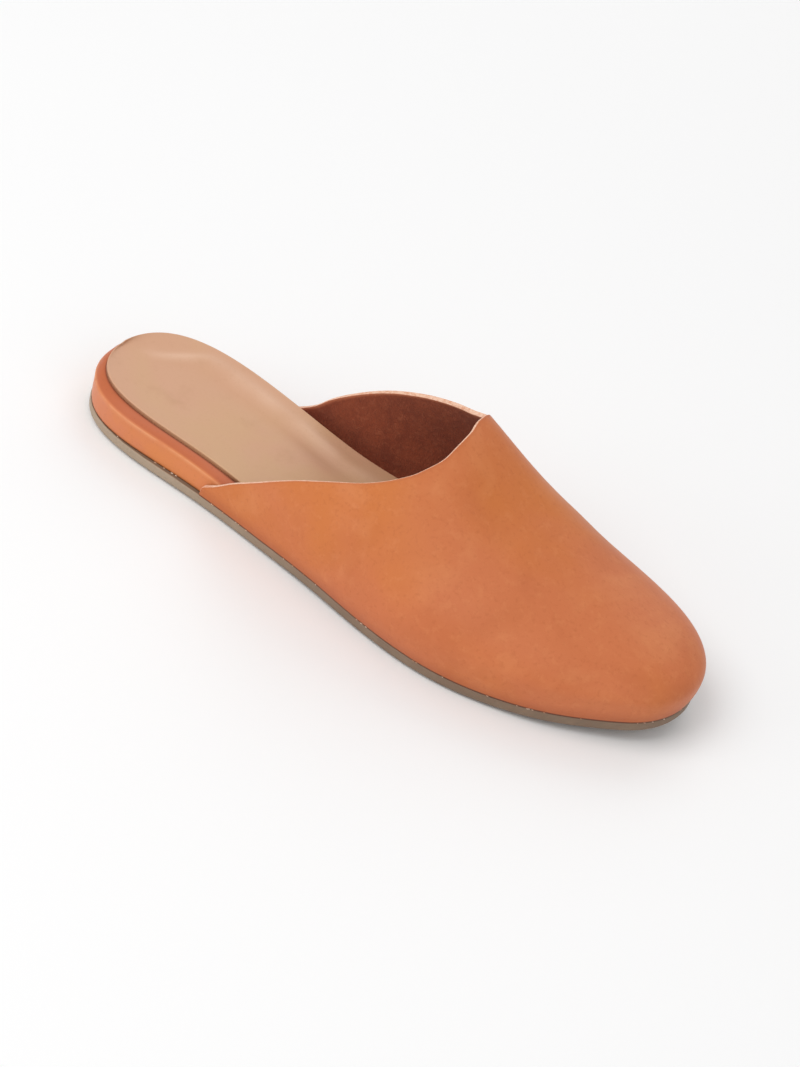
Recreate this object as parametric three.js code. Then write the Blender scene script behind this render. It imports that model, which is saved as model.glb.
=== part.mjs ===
// Leather mule shoe, right foot: outsole, leather-wrapped midsole, insole and a one-piece upper.
// Millimetres. While the pieces are worked out, x runs from the back of the heel to the tip of
// the toe, +y is the medial side and z is the height above the ground.

import * as THREE from 'three';
import { mergeVertices } from 'three/addons/utils/BufferGeometryUtils.js';

// ---- Driving dimensions ----

const LENGTH = 250;
const HEEL_END_RADIUS = 31.3;
const TOE_END_RADIUS = 27.4;

const OUTSOLE_THICKNESS = 4.4;
const OUTSOLE_EDGE_RADIUS = 2;
const RIM_FOOT_TUCK = 0.15;
const RIM_BELLY_TUCK = 0.1;
const RIM_ROLL_HEIGHT = 3.6;
const RIM_ROLL_SHARE = 0.6;
const INSOLE_THICKNESS = 1.6;
const INSOLE_EDGE_RADIUS = 0.5;
const GAP = 0.3;

const LEATHER = 1.8;
const FEATHER_INSET = 0.1;
const THROAT_X = 145.4;
const VAMP_APEX_X = 178;
const TUCK_TURN = 0.07;

// Half-breadths of the outsole at shares of its length.
const PLAN = [
  { share: 0.06, lateral: 25.2, medial: 25.1 },
  { share: 0.14, lateral: 30.4, medial: 29.6 },
  { share: 0.25, lateral: 31.9, medial: 27.9 },
  { share: 0.36, lateral: 34.8, medial: 25.6 },
  { share: 0.48, lateral: 39.3, medial: 28.6 },
  { share: 0.60, lateral: 44.5, medial: 36.1 },
  { share: 0.70, lateral: 45.6, medial: 39.4 },
  { share: 0.80, lateral: 40.6, medial: 36.9 },
  { share: 0.88, lateral: 32.8, medial: 32.6 },
  { share: 0.95, lateral: 22.3, medial: 23.7 },
];

// The outsole lies flat under the heel and the ball; between them the waist is a little clear of
// the ground, and in front of them the toe springs up.
const WAIST_FROM_X = 92;
const WAIST_TO_X = 144;
const WAIST_LIFT = 0.4;
const SPRING_FROM_X = 182;
const TOE_SPRING = 6.5;
const SPRING_POWER = 1.8;

// Footbed above the outsole: height of the insole's top, its inset from the outsole's outline,
// the rise of its medial flank, the depth of its dish, and the inset of the rim where it is widest.
const FOOTBED = [
  { x: 0, height: 15.1, inset: 3.6, flank: 0.2, dish: 0.8, rim: 0.3 },
  { x: 22, height: 14.5, inset: 4.3, flank: 0.7, dish: 1.3, rim: 0.7 },
  { x: 42, height: 13.9, inset: 4.8, flank: 1.0, dish: 1.6, rim: 2.2 },
  { x: 85, height: 11.6, inset: 5.5, flank: 1.3, dish: 1.3, rim: 2.2 },
  { x: 115, height: 7.8, inset: 5.7, flank: 0.9, dish: 0.8, rim: 2.2 },
  { x: 145, height: 5.4, inset: 4.8, flank: 0.2, dish: 0.4, rim: 2.2 },
  { x: 200, height: 5.1, inset: 3.6, flank: 0, dish: 0.3, rim: 2.2 },
  { x: 250, height: 5.0, inset: 3.4, flank: 0, dish: 0.2, rim: 2.2 },
];

// Upper along its length: how far its widest line stands outside the outsole, and how high.
const FLANKS = [
  { x: 40, lateralOut: 0.3, medialOut: 1.6, lateralHigh: 12, medialHigh: 11 },
  { x: 70, lateralOut: 0.6, medialOut: 2.1, lateralHigh: 12.5, medialHigh: 12 },
  { x: 110, lateralOut: 1.3, medialOut: 2.3, lateralHigh: 13.5, medialHigh: 13.5 },
  { x: 155, lateralOut: 2.0, medialOut: 0.9, lateralHigh: 14.5, medialHigh: 14 },
  { x: 205, lateralOut: 1.8, medialOut: 0.5, lateralHigh: 16, medialHigh: 15.5 },
  { x: 238, lateralOut: 1.6, medialOut: 1.4, lateralHigh: 18, medialHigh: 18 },
  { x: 250, lateralOut: 1.3, medialOut: 1.3, lateralHigh: 18.6, medialHigh: 18.6 },
];

// Crest of the instep. In front of the apex of the vamp its height is the ceiling that the
// sections of the toe rise towards.
const CREST = [
  { x: 40, height: 94, side: 4 },
  { x: 100, height: 86, side: 5 },
  { x: 149, height: 66.0, side: 5.8 },
  { x: 163, height: 56.9, side: 6.5 },
  { x: 178, height: 48.4, side: 7.3 },
  { x: 198, height: 41.6, side: 7.3 },
  { x: 222, height: 38.2, side: 7.3 },
  { x: 252, height: 40, side: 7.3 },
];

// How much leaner than an ellipse the sections below the crest are, as a share of their size.
const LEANNESS = [
  { x: 40, lean: 0.015 },
  { x: 120, lean: 0.045 },
  { x: 149, lean: 0.06 },
  { x: 178, lean: 0.045 },
  { x: 250, lean: 0.035 },
];

// Where the topline crosses each turn of the section: -TUCK_TURN is the outsole, 0 the widest
// line and 1 the crest.
const TOPLINE = [
  { turn: -TUCK_TURN, lateral: 66.6, medial: 58 },
  { turn: -0.035, lateral: 67.3, medial: 58.8 },
  { turn: -0.015, lateral: 69.9, medial: 61.4 },
  { turn: 0, lateral: 72.4, medial: 65 },
  { turn: 0.05, lateral: 79.4, medial: 73 },
  { turn: 0.1, lateral: 87.2, medial: 78.1 },
  { turn: 0.2, lateral: 101.4, medial: 90.2 },
  { turn: 0.3, lateral: 115.4, medial: 102.7 },
  { turn: 0.4, lateral: 127.3, medial: 115.5 },
  { turn: 0.5, lateral: 135.6, medial: 127.6 },
  { turn: 0.6, lateral: 141.3, medial: 137.4 },
  { turn: 0.75, lateral: 145.8, medial: 144.0 },
  { turn: 0.9, lateral: 146.5, medial: 145.2 },
  { turn: 1, lateral: THROAT_X, medial: THROAT_X },
];

// ---- Mesh fineness ----

const OUTLINE_STATIONS = 36;
const BED_STRIPS = 6;
const ROUND_STEPS = 3;
const VAMP_COLUMNS = 14;
const TOE_COLUMNS = 14;
const TUCK_ROWS = 5;
const WALL_ROWS = 14;

const LATERAL = -1;
const MEDIAL = 1;

// ---- Curves ----

/** Natural cubic spline through [x, y] pairs, level beyond its ends. */
function spline(pairs) {
  const n = pairs.length;
  const bend = new Array(n).fill(0);
  const carry = new Array(n).fill(0);
  for (let i = 1; i < n - 1; i++) {
    const before = pairs[i][0] - pairs[i - 1][0];
    const after = pairs[i + 1][0] - pairs[i][0];
    const kink = (pairs[i + 1][1] - pairs[i][1]) / after - (pairs[i][1] - pairs[i - 1][1]) / before;
    const pivot = 2 * (before + after) - before * carry[i - 1];
    carry[i] = after / pivot;
    bend[i] = (6 * kink - before * bend[i - 1]) / pivot;
  }
  for (let i = n - 2; i > 0; i--) bend[i] -= carry[i] * bend[i + 1];
  return (x) => {
    if (x <= pairs[0][0]) return pairs[0][1];
    if (x >= pairs[n - 1][0]) return pairs[n - 1][1];
    const k = pairs.findIndex((pair) => pair[0] >= x);
    const width = pairs[k][0] - pairs[k - 1][0];
    const right = (x - pairs[k - 1][0]) / width;
    const left = 1 - right;
    const sag = ((left ** 3 - left) * bend[k - 1] + (right ** 3 - right) * bend[k]) * width ** 2;
    return left * pairs[k - 1][1] + right * pairs[k][1] + sag / 6;
  };
}

/** Curve through [x, y] pairs that never swings past them and is level at both ends. */
function steadyCurve(pairs) {
  const slopes = pairs.map(([x, y], i) => {
    if (i === 0 || i === pairs.length - 1) return 0;
    const before = (y - pairs[i - 1][1]) / (x - pairs[i - 1][0]);
    const after = (pairs[i + 1][1] - y) / (pairs[i + 1][0] - x);
    return before * after > 0 ? (2 * before * after) / (before + after) : 0;
  });
  return (x) => {
    const k = Math.max(1, pairs.findIndex((pair) => pair[0] >= x));
    const width = pairs[k][0] - pairs[k - 1][0];
    const t = (x - pairs[k - 1][0]) / width;
    const rise = pairs[k][1] - pairs[k - 1][1];
    const [start, end] = [slopes[k - 1] * width, slopes[k] * width];
    const curve = start * t + (3 * rise - 2 * start - end) * t ** 2 + (start + end - 2 * rise) * t ** 3;
    return pairs[k - 1][1] + curve;
  };
}

/** One named column of a table as a smooth function of another. */
function column(table, from, to) {
  return spline(table.map((row) => [row[from], row[to]]));
}

function mix(a, b, share) {
  return a + (b - a) * share;
}

function smoothStep(low, high, value) {
  const share = THREE.MathUtils.clamp((value - low) / (high - low), 0, 1);
  return share * share * (3 - 2 * share);
}

// ---- Outline of the outsole ----

/** Fullness of one side against a half ellipse, so that both ends are truly round. */
function fullness(side) {
  const end = (radius) => Math.sqrt((2 * radius) / LENGTH);
  const rows = PLAN.map((row) => {
    const breadth = side === LATERAL ? row.lateral : row.medial;
    return [row.share * LENGTH, breadth / (LENGTH * Math.sqrt(row.share * (1 - row.share)))];
  });
  return spline([[0, end(HEEL_END_RADIUS)], ...rows, [LENGTH, end(TOE_END_RADIUS)]]);
}

const FULLNESS = { [LATERAL]: fullness(LATERAL), [MEDIAL]: fullness(MEDIAL) };

/** Point of the outline at a station from the heel (0) to the toe (PI), moved inwards by an inset. */
function outline(station, side, inset = 0) {
  const raw = (angle) => {
    const x = stationX(angle);
    return new THREE.Vector2(x, side * FULLNESS[side](x) * (LENGTH / 2) * Math.sin(angle));
  };
  const point = raw(station);
  const tangent = raw(station + 1e-4).sub(raw(station - 1e-4)).normalize();
  return new THREE.Vector2(point.x + tangent.y * side * inset, point.y - tangent.x * side * inset);
}

function stationX(station) {
  return (LENGTH / 2) * (1 - Math.cos(station));
}

function stationAt(x) {
  return Math.acos(1 - (2 * x) / LENGTH);
}

// ---- Heights ----

function groundLift(x) {
  const waist = THREE.MathUtils.clamp((x - WAIST_FROM_X) / (WAIST_TO_X - WAIST_FROM_X), 0, 1);
  const spring = Math.max(x - SPRING_FROM_X, 0) / (LENGTH - SPRING_FROM_X);
  return WAIST_LIFT * Math.sin(Math.PI * waist) ** 2 + TOE_SPRING * spring ** SPRING_POWER;
}

const bedHeight = column(FOOTBED, 'x', 'height');
const bedInset = column(FOOTBED, 'x', 'inset');
const bedFlank = column(FOOTBED, 'x', 'flank');
const bedDish = column(FOOTBED, 'x', 'dish');
const rimInset = column(FOOTBED, 'x', 'rim');

function outsoleTop(x) {
  return groundLift(x) + OUTSOLE_THICKNESS;
}

/** Top of the insole; across runs from -1 at its lateral edge to 1 at its medial edge. */
function insoleTop(x, across) {
  const flank = bedFlank(x) * smoothStep(0.2, 1, across);
  const dish = bedDish(x) * (1 - across ** 2);
  return outsoleTop(x) + bedHeight(x) + flank - dish;
}

// ---- Solids from triangles ----

/** Closed geometry from corner triples, with shared corners merged and slivers left out. */
function solidGeometry(triangles) {
  const geometry = new THREE.BufferGeometry();
  const corners = triangles.flat().flatMap((corner) => corner.toArray());
  geometry.setAttribute('position', new THREE.Float32BufferAttribute(corners, 3));
  const merged = mergeVertices(geometry, 1e-3);
  const index = [...merged.index.array];
  const kept = [];
  for (let i = 0; i < index.length; i += 3) {
    const [a, b, c] = index.slice(i, i + 3);
    if (a !== b && b !== c && c !== a) kept.push(a, b, c);
  }
  merged.setIndex(kept);
  merged.computeVertexNormals();
  return merged;
}

/** Two triangles a-b-c-d, seen anticlockwise from outside. */
function quad(a, b, c, d) {
  return [[a, b, c], [a, c, d]];
}

/** A level of a sole piece: both sides of a closed ring, which share their two end points. */
function soleRing(place) {
  const stations = Array.from({ length: OUTLINE_STATIONS + 1 }, (_, i) => (Math.PI * i) / OUTLINE_STATIONS);
  const lateral = stations.map((station) => place(station, LATERAL));
  const medial = stations.map((station) => place(station, MEDIAL));
  medial[0] = lateral[0];
  medial[OUTLINE_STATIONS] = lateral[OUTLINE_STATIONS];
  return { lateral, medial };
}

/** A sole piece from rings that run from its bottom edge to its top edge, with both faces. */
function soleSolid(rings, bottomHeight, topHeight) {
  const triangles = [];
  const last = OUTLINE_STATIONS;
  for (let k = 0; k < rings.length - 1; k++) {
    const [low, high] = [rings[k], rings[k + 1]];
    for (let i = 0; i < last; i++) {
      triangles.push(...quad(low.lateral[i], low.lateral[i + 1], high.lateral[i + 1], high.lateral[i]));
      triangles.push(...quad(low.medial[i + 1], low.medial[i], high.medial[i], high.medial[i + 1]));
    }
  }
  const face = (ring, height, up) => {
    const cell = (i, j) => {
      if (j === 0 || i === 0 || i === last) return ring.lateral[i];
      if (j === BED_STRIPS) return ring.medial[i];
      const share = j / BED_STRIPS;
      const x = mix(ring.lateral[i].x, ring.medial[i].x, share);
      const y = mix(ring.lateral[i].y, ring.medial[i].y, share);
      return new THREE.Vector3(x, y, height(x, 2 * share - 1));
    };
    for (let i = 0; i < last; i++) {
      for (let j = 0; j < BED_STRIPS; j++) {
        const corners = [cell(i, j), cell(i + 1, j), cell(i + 1, j + 1), cell(i, j + 1)];
        triangles.push(...quad(...(up ? corners : corners.reverse())));
      }
    }
  };
  face(rings[0], bottomHeight, false);
  face(rings[rings.length - 1], topHeight, true);
  return solidGeometry(triangles);
}

/** Ring at an inset whose height is a rule of x. */
function levelRing(insetAt, heightAt) {
  return soleRing((station, side) => {
    const point = outline(station, side, insetAt(stationX(station)));
    return new THREE.Vector3(point.x, point.y, heightAt(point.x, side));
  });
}

// ---- Outsole ----

function outsoleGeometry() {
  const rings = [];
  for (let step = 0; step <= ROUND_STEPS; step++) {
    const angle = (Math.PI / 2) * (step / ROUND_STEPS);
    const inset = OUTSOLE_EDGE_RADIUS * (1 - Math.sin(angle));
    const rise = OUTSOLE_EDGE_RADIUS * (1 - Math.cos(angle));
    rings.push(levelRing(() => inset, (x) => groundLift(x) + rise));
  }
  rings.push(levelRing(() => 0, outsoleTop));
  return soleSolid(rings, groundLift, outsoleTop);
}

// ---- Midsole: footbed with a rolled rim ----

function midsoleTop(x, across) {
  return insoleTop(x, across) - INSOLE_THICKNESS - GAP;
}

function midsoleGeometry() {
  const bottom = (x) => outsoleTop(x) + GAP;
  const rollHeight = (x, side) => {
    return Math.min(RIM_ROLL_HEIGHT, RIM_ROLL_SHARE * (midsoleTop(x, side) - bottom(x)));
  };
  const belly = (x, side) => mix(bottom(x), midsoleTop(x, side) - rollHeight(x, side), 0.5);
  const rings = [
    levelRing((x) => rimInset(x) + RIM_FOOT_TUCK, bottom),
    levelRing((x) => rimInset(x) + RIM_BELLY_TUCK, belly),
  ];
  for (let step = 0; step <= ROUND_STEPS; step++) {
    const angle = (Math.PI / 2) * (step / ROUND_STEPS);
    const insetAt = (x) => mix(bedInset(x), rimInset(x), Math.cos(angle));
    const heightAt = (x, side) => midsoleTop(x, side) - rollHeight(x, side) * (1 - Math.sin(angle));
    rings.push(levelRing(insetAt, heightAt));
  }
  return soleSolid(rings, bottom, midsoleTop);
}

// ---- Insole ----

function insoleGeometry() {
  const bottom = (x, across) => insoleTop(x, across) - INSOLE_THICKNESS;
  const shoulder = (x, side) => insoleTop(x, side) - INSOLE_EDGE_RADIUS;
  const rings = [
    levelRing(bedInset, bottom),
    levelRing(bedInset, shoulder),
    levelRing((x) => bedInset(x) + INSOLE_EDGE_RADIUS, insoleTop),
  ];
  return soleSolid(rings, bottom, insoleTop);
}

// ---- Upper: one skin of leather from the outsole up to the topline ----

const crestHeight = column(CREST, 'x', 'height');
const crestSide = column(CREST, 'x', 'side');
const sectionLean = column(LEANNESS, 'x', 'lean');
const flankOut = {
  [LATERAL]: column(FLANKS, 'x', 'lateralOut'),
  [MEDIAL]: column(FLANKS, 'x', 'medialOut'),
};
const flankHigh = {
  [LATERAL]: column(FLANKS, 'x', 'lateralHigh'),
  [MEDIAL]: column(FLANKS, 'x', 'medialHigh'),
};
const topline = {
  [LATERAL]: steadyCurve(TOPLINE.map((row) => [row.turn, row.lateral])),
  [MEDIAL]: steadyCurve(TOPLINE.map((row) => [row.turn, row.medial])),
};

/**
 * Outer face of the upper on the section that starts at a station of the outline. The section
 * turn runs from -TUCK_TURN at the outsole through 0 at the widest line to 1 at the crest. In
 * front of the apex of the vamp every section runs back to that apex.
 */
function upperPoint(station, side, turn) {
  const x = stationX(station);
  const foot = outline(station, side, FEATHER_INSET);
  const wide = outline(station, side, -flankOut[side](x));
  const wideHeight = flankHigh[side](x);
  if (turn < 0) {
    const footHeight = outsoleTop(foot.x) + GAP;
    const tuck = -turn / TUCK_TURN;
    const plan = wide.clone().lerp(foot, tuck * tuck);
    return new THREE.Vector3(plan.x, plan.y, mix(wideHeight, footHeight, tuck));
  }
  const crestX = Math.min(x, VAMP_APEX_X);
  const crest = new THREE.Vector2(crestX, crestSide(crestX));
  if (turn === 1) return new THREE.Vector3(crest.x, crest.y, crestHeight(crest.x));
  const angle = (Math.PI / 2) * turn;
  const hollow = sectionLean(x) * Math.sin(2 * angle) ** 2;
  const plan = crest.clone().lerp(wide, Math.cos(angle) - hollow);
  const height = mix(wideHeight, crestHeight(plan.x), Math.sin(angle) - hollow);
  return new THREE.Vector3(plan.x, plan.y, height);
}

/** Stations along one turn of a side: from the topline to the apex of the vamp, then the toe. */
function upperStations(side, turn) {
  const start = stationAt(topline[side](turn));
  const apex = stationAt(VAMP_APEX_X);
  const vamp = Array.from({ length: VAMP_COLUMNS }, (_, i) => mix(start, apex, i / VAMP_COLUMNS));
  const toe = Array.from({ length: TOE_COLUMNS + 1 }, (_, i) => mix(apex, Math.PI, i / TOE_COLUMNS));
  return [...vamp, ...toe];
}

/** Direction straight into the leather at one place of the outer face. */
function inwards(station, side, turn) {
  if (turn === 1) {
    const x = Math.min(stationX(station), VAMP_APEX_X);
    return new THREE.Vector3(crestHeight(x + 0.5) - crestHeight(x - 0.5), 0, -1).normalize();
  }
  const step = 1e-3;
  const low = upperPoint(station, side, Math.max(turn - step, -TUCK_TURN));
  const high = upperPoint(station, side, turn + step);
  const back = upperPoint(station - step, side, turn);
  const front = upperPoint(station + step, side, turn);
  return high.sub(low).cross(front.sub(back)).multiplyScalar(-side).normalize();
}

/** One row of the leather, from the lateral topline round the toe to the medial topline. */
function upperRow(turn) {
  const places = [LATERAL, MEDIAL].map((side) => {
    return upperStations(side, turn).map((station) => ({ side, station }));
  });
  const outer = [];
  const inner = [];
  for (const { side, station } of [...places[0], ...places[1].reverse().slice(1)]) {
    const point = upperPoint(station, side, turn);
    const lining = point.clone().addScaledVector(inwards(station, side, turn), LEATHER);
    if (turn === -TUCK_TURN) lining.z = point.z;
    outer.push(point);
    inner.push(lining);
  }
  return { outer, inner };
}

function upperGeometry() {
  const tuck = Array.from({ length: TUCK_ROWS }, (_, i) => TUCK_TURN * (i / TUCK_ROWS - 1));
  const wall = Array.from({ length: WALL_ROWS + 1 }, (_, i) => i / WALL_ROWS);
  const rows = [...tuck, ...wall].map(upperRow);
  const triangles = [];
  const last = rows[0].outer.length - 1;
  for (let r = 0; r < rows.length - 1; r++) {
    const [low, high] = [rows[r], rows[r + 1]];
    for (let i = 0; i < last; i++) {
      triangles.push(...quad(low.outer[i], low.outer[i + 1], high.outer[i + 1], high.outer[i]));
      triangles.push(...quad(low.inner[i + 1], low.inner[i], high.inner[i], high.inner[i + 1]));
    }
    triangles.push(...quad(low.inner[0], low.outer[0], high.outer[0], high.inner[0]));
    triangles.push(...quad(low.outer[last], low.inner[last], high.inner[last], high.outer[last]));
  }
  const { outer, inner } = rows[0];
  for (let i = 0; i < last; i++) {
    triangles.push(...quad(outer[i + 1], outer[i], inner[i], inner[i + 1]));
  }
  return solidGeometry(triangles);
}

// ---- Materials and assembly ----

function material(colour, roughness) {
  return new THREE.MeshStandardMaterial({ color: colour, roughness, metalness: 0 });
}

function piece(name, geometry, finish) {
  const mesh = new THREE.Mesh(geometry, finish);
  mesh.name = name;
  return mesh;
}

const shoe = new THREE.Group();
shoe.add(piece('outsole', outsoleGeometry(), material(0x7a624e, 0.75)));
shoe.add(piece('midsole', midsoleGeometry(), material(0xcd784e, 0.5)));
shoe.add(piece('insole', insoleGeometry(), material(0xd4a684, 0.6)));
shoe.add(piece('upper', upperGeometry(), material(0xcd784e, 0.5)));

// The finished shoe stands on its sole with the middle of its footprint at the origin.
const box = new THREE.Box3().setFromObject(shoe);
const middle = box.getCenter(new THREE.Vector3());
shoe.position.set(-middle.x, -middle.y, -box.min.z);

export default shoe;
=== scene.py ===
"""Looks of a right-foot leather mule: moulded outsole, wrapped footbed, insole and one-piece upper."""

import logging
import math
from dataclasses import dataclass, field
from enum import Enum
from typing import Any, Callable, Mapping, Sequence

import bmesh
import bpy
import numpy as np
from mathutils import Matrix, Vector


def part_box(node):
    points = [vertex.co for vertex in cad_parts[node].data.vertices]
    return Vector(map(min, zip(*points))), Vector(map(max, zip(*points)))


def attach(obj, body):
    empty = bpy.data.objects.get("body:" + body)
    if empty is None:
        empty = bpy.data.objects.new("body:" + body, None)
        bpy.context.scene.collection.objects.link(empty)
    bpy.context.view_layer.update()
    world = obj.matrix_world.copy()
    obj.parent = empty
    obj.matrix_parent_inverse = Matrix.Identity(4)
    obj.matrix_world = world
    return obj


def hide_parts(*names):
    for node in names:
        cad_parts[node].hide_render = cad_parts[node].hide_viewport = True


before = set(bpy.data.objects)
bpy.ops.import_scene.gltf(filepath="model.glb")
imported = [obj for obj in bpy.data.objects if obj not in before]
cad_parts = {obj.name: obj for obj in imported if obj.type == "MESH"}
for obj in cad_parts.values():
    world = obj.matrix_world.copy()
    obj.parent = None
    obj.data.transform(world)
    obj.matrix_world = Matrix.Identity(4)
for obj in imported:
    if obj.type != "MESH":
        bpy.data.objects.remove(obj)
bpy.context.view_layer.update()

LOG = logging.getLogger("mule")
MM = 0.001
BODY = "root"
Array = np.ndarray
Colour = tuple[float, float, float]
PlanRule = Callable[[Array], Array]
HeightRule = Callable[[Array, Array], Array]


class Side(Enum):
    """The two sides of a right shoe; the value is the sign of y."""

    LATERAL = -1
    MEDIAL = 1


# ---- Tables of the last, in millimetres ----

PLAN = {
    "share": (0.06, 0.14, 0.25, 0.36, 0.48, 0.60, 0.70, 0.80, 0.88, 0.95),
    "lateral": (25.2, 30.4, 31.9, 34.8, 39.3, 44.5, 45.6, 40.6, 32.8, 22.3),
    "medial": (25.1, 29.6, 27.9, 25.6, 28.6, 36.1, 39.4, 36.9, 32.6, 23.7),
}
FOOTBED = {
    "x": (0, 22, 42, 85, 115, 145, 200, 250),
    "height": (15.1, 14.5, 13.9, 11.6, 7.8, 5.4, 5.1, 5.0),
    "inset": (3.6, 4.3, 4.8, 5.5, 5.7, 4.8, 3.6, 3.4),
    "flank": (0.2, 0.7, 1.0, 1.3, 0.9, 0.2, 0.0, 0.0),
    "dish": (0.8, 1.3, 1.6, 1.3, 0.8, 0.4, 0.3, 0.2),
    "rim": (0.3, 0.7, 2.2, 2.2, 2.2, 2.2, 2.2, 2.2),
}
FLANKS = {
    "x": (40, 70, 110, 155, 205, 238, 250),
    "lateral_out": (0.3, 0.6, 1.3, 2.0, 1.8, 1.6, 1.3),
    "medial_out": (1.6, 2.1, 2.3, 0.9, 0.5, 1.4, 1.3),
    "lateral_high": (12, 12.5, 13.5, 14.5, 16, 18, 18.6),
    "medial_high": (11, 12, 13.5, 14, 15.5, 18, 18.6),
}
CREST = {
    "x": (40, 100, 149, 163, 178, 198, 222, 252),
    "height": (94, 86, 66, 56.9, 48.4, 41.6, 38.2, 40),
    "side": (4, 5, 5.8, 6.5, 7.3, 7.3, 7.3, 7.3),
}
LEANNESS = {"x": (40, 120, 149, 178, 250), "lean": (0.015, 0.045, 0.06, 0.045, 0.035)}
TOPLINE = {
    "turn": (-0.07, -0.035, -0.015, 0, 0.05, 0.1, 0.2, 0.3, 0.4, 0.5, 0.6, 0.75, 0.9, 1),
    "lateral": (66.6, 67.3, 69.9, 72.4, 79.4, 87.2, 101.4, 115.4, 127.3, 135.6, 141.3, 145.8, 146.5, 145.4),
    "medial": (58, 58.8, 61.4, 65, 73, 78.1, 90.2, 102.7, 115.5, 127.6, 137.4, 144, 145.2, 145.4),
}


# ---- Curves ----


class TableCurve:
    """Curve through table values, level beyond its ends."""

    def __init__(self, x: Sequence[float], y: Sequence[float]) -> None:
        """Takes the values of the table.

        Args:
            x: places of the values, rising.
            y: the values.
        """
        self.x, self.y = np.asarray(x, float), np.asarray(y, float)
        self.gaps = np.diff(self.x)
        self.rises = np.diff(self.y) / self.gaps

    def span(self, place: Array) -> tuple[Array, Array, Array]:
        """Finds the span of the table that each place falls in.

        Args:
            place: one or many places.

        Returns:
            The index of the span's end, the width of the span, and the share of it that is passed.
        """
        place = np.clip(place, self.x[0], self.x[-1])
        k = np.clip(np.searchsorted(self.x, place), 1, len(self.x) - 1)
        width = self.x[k] - self.x[k - 1]
        return k, width, (place - self.x[k - 1]) / width


class Spline(TableCurve):
    """Natural cubic curve."""

    def __init__(self, x: Sequence[float], y: Sequence[float]) -> None:
        """Solves the bend at each value.

        Args:
            x: places of the values, rising.
            y: the values.
        """
        super().__init__(x, y)
        gaps, rises = self.gaps, self.rises
        system, right = np.eye(len(self.x)), np.zeros(len(self.x))
        for k in range(1, len(self.x) - 1):
            system[k, k - 1 : k + 2] = gaps[k - 1], 2 * (gaps[k - 1] + gaps[k]), gaps[k]
            right[k] = 6 * (rises[k] - rises[k - 1])
        self.bend = np.linalg.solve(system, right)

    def __call__(self, place: Array) -> Array:
        """Works out the curve.

        Args:
            place: one or many places.

        Returns:
            The value at each place.
        """
        k, width, right = self.span(place)
        left = 1 - right
        sag = ((left**3 - left) * self.bend[k - 1] + (right**3 - right) * self.bend[k]) * width**2
        return left * self.y[k - 1] + right * self.y[k] + sag / 6


class SteadyCurve(TableCurve):
    """Curve that never swings past its values and is level at both ends."""

    def __init__(self, x: Sequence[float], y: Sequence[float]) -> None:
        """Works out the slope at each value.

        Args:
            x: places of the values, rising.
            y: the values.
        """
        super().__init__(x, y)
        self.slope = np.zeros(len(self.x))
        for k in range(1, len(self.x) - 1):
            before, after = self.rises[k - 1], self.rises[k]
            if before * after > 0:
                self.slope[k] = 2 * before * after / (before + after)

    def __call__(self, place: Array) -> Array:
        """Works out the curve.

        Args:
            place: one or many places.

        Returns:
            The value at each place.
        """
        k, width, t = self.span(place)
        rise = self.y[k] - self.y[k - 1]
        start, end = self.slope[k - 1] * width, self.slope[k] * width
        bow = start * t + (3 * rise - 2 * start - end) * t**2 + (start + end - 2 * rise) * t**3
        return self.y[k - 1] + bow


def smooth_step(low: float, high: float, value: Array) -> Array:
    """Soft step from 0 at low to 1 at high."""
    share = np.clip((value - low) / (high - low), 0, 1)
    return share * share * (3 - 2 * share)


def mix(a: Array, b: Array, share: Array) -> Array:
    """Value a share of the way from a to b."""
    return a + (b - a) * share


def hump(value: Array, middle: float, reach: float) -> Array:
    """Soft bell of height 1 around a middle."""
    return np.exp(-(((value - middle) / reach) ** 2))


def plateau(value: Array, rise: tuple[float, float], fall: tuple[float, float]) -> Array:
    """1 between two soft steps and 0 outside them."""
    return smooth_step(*rise, value) * (1 - smooth_step(*fall, value))


# ---- The last ----


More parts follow.
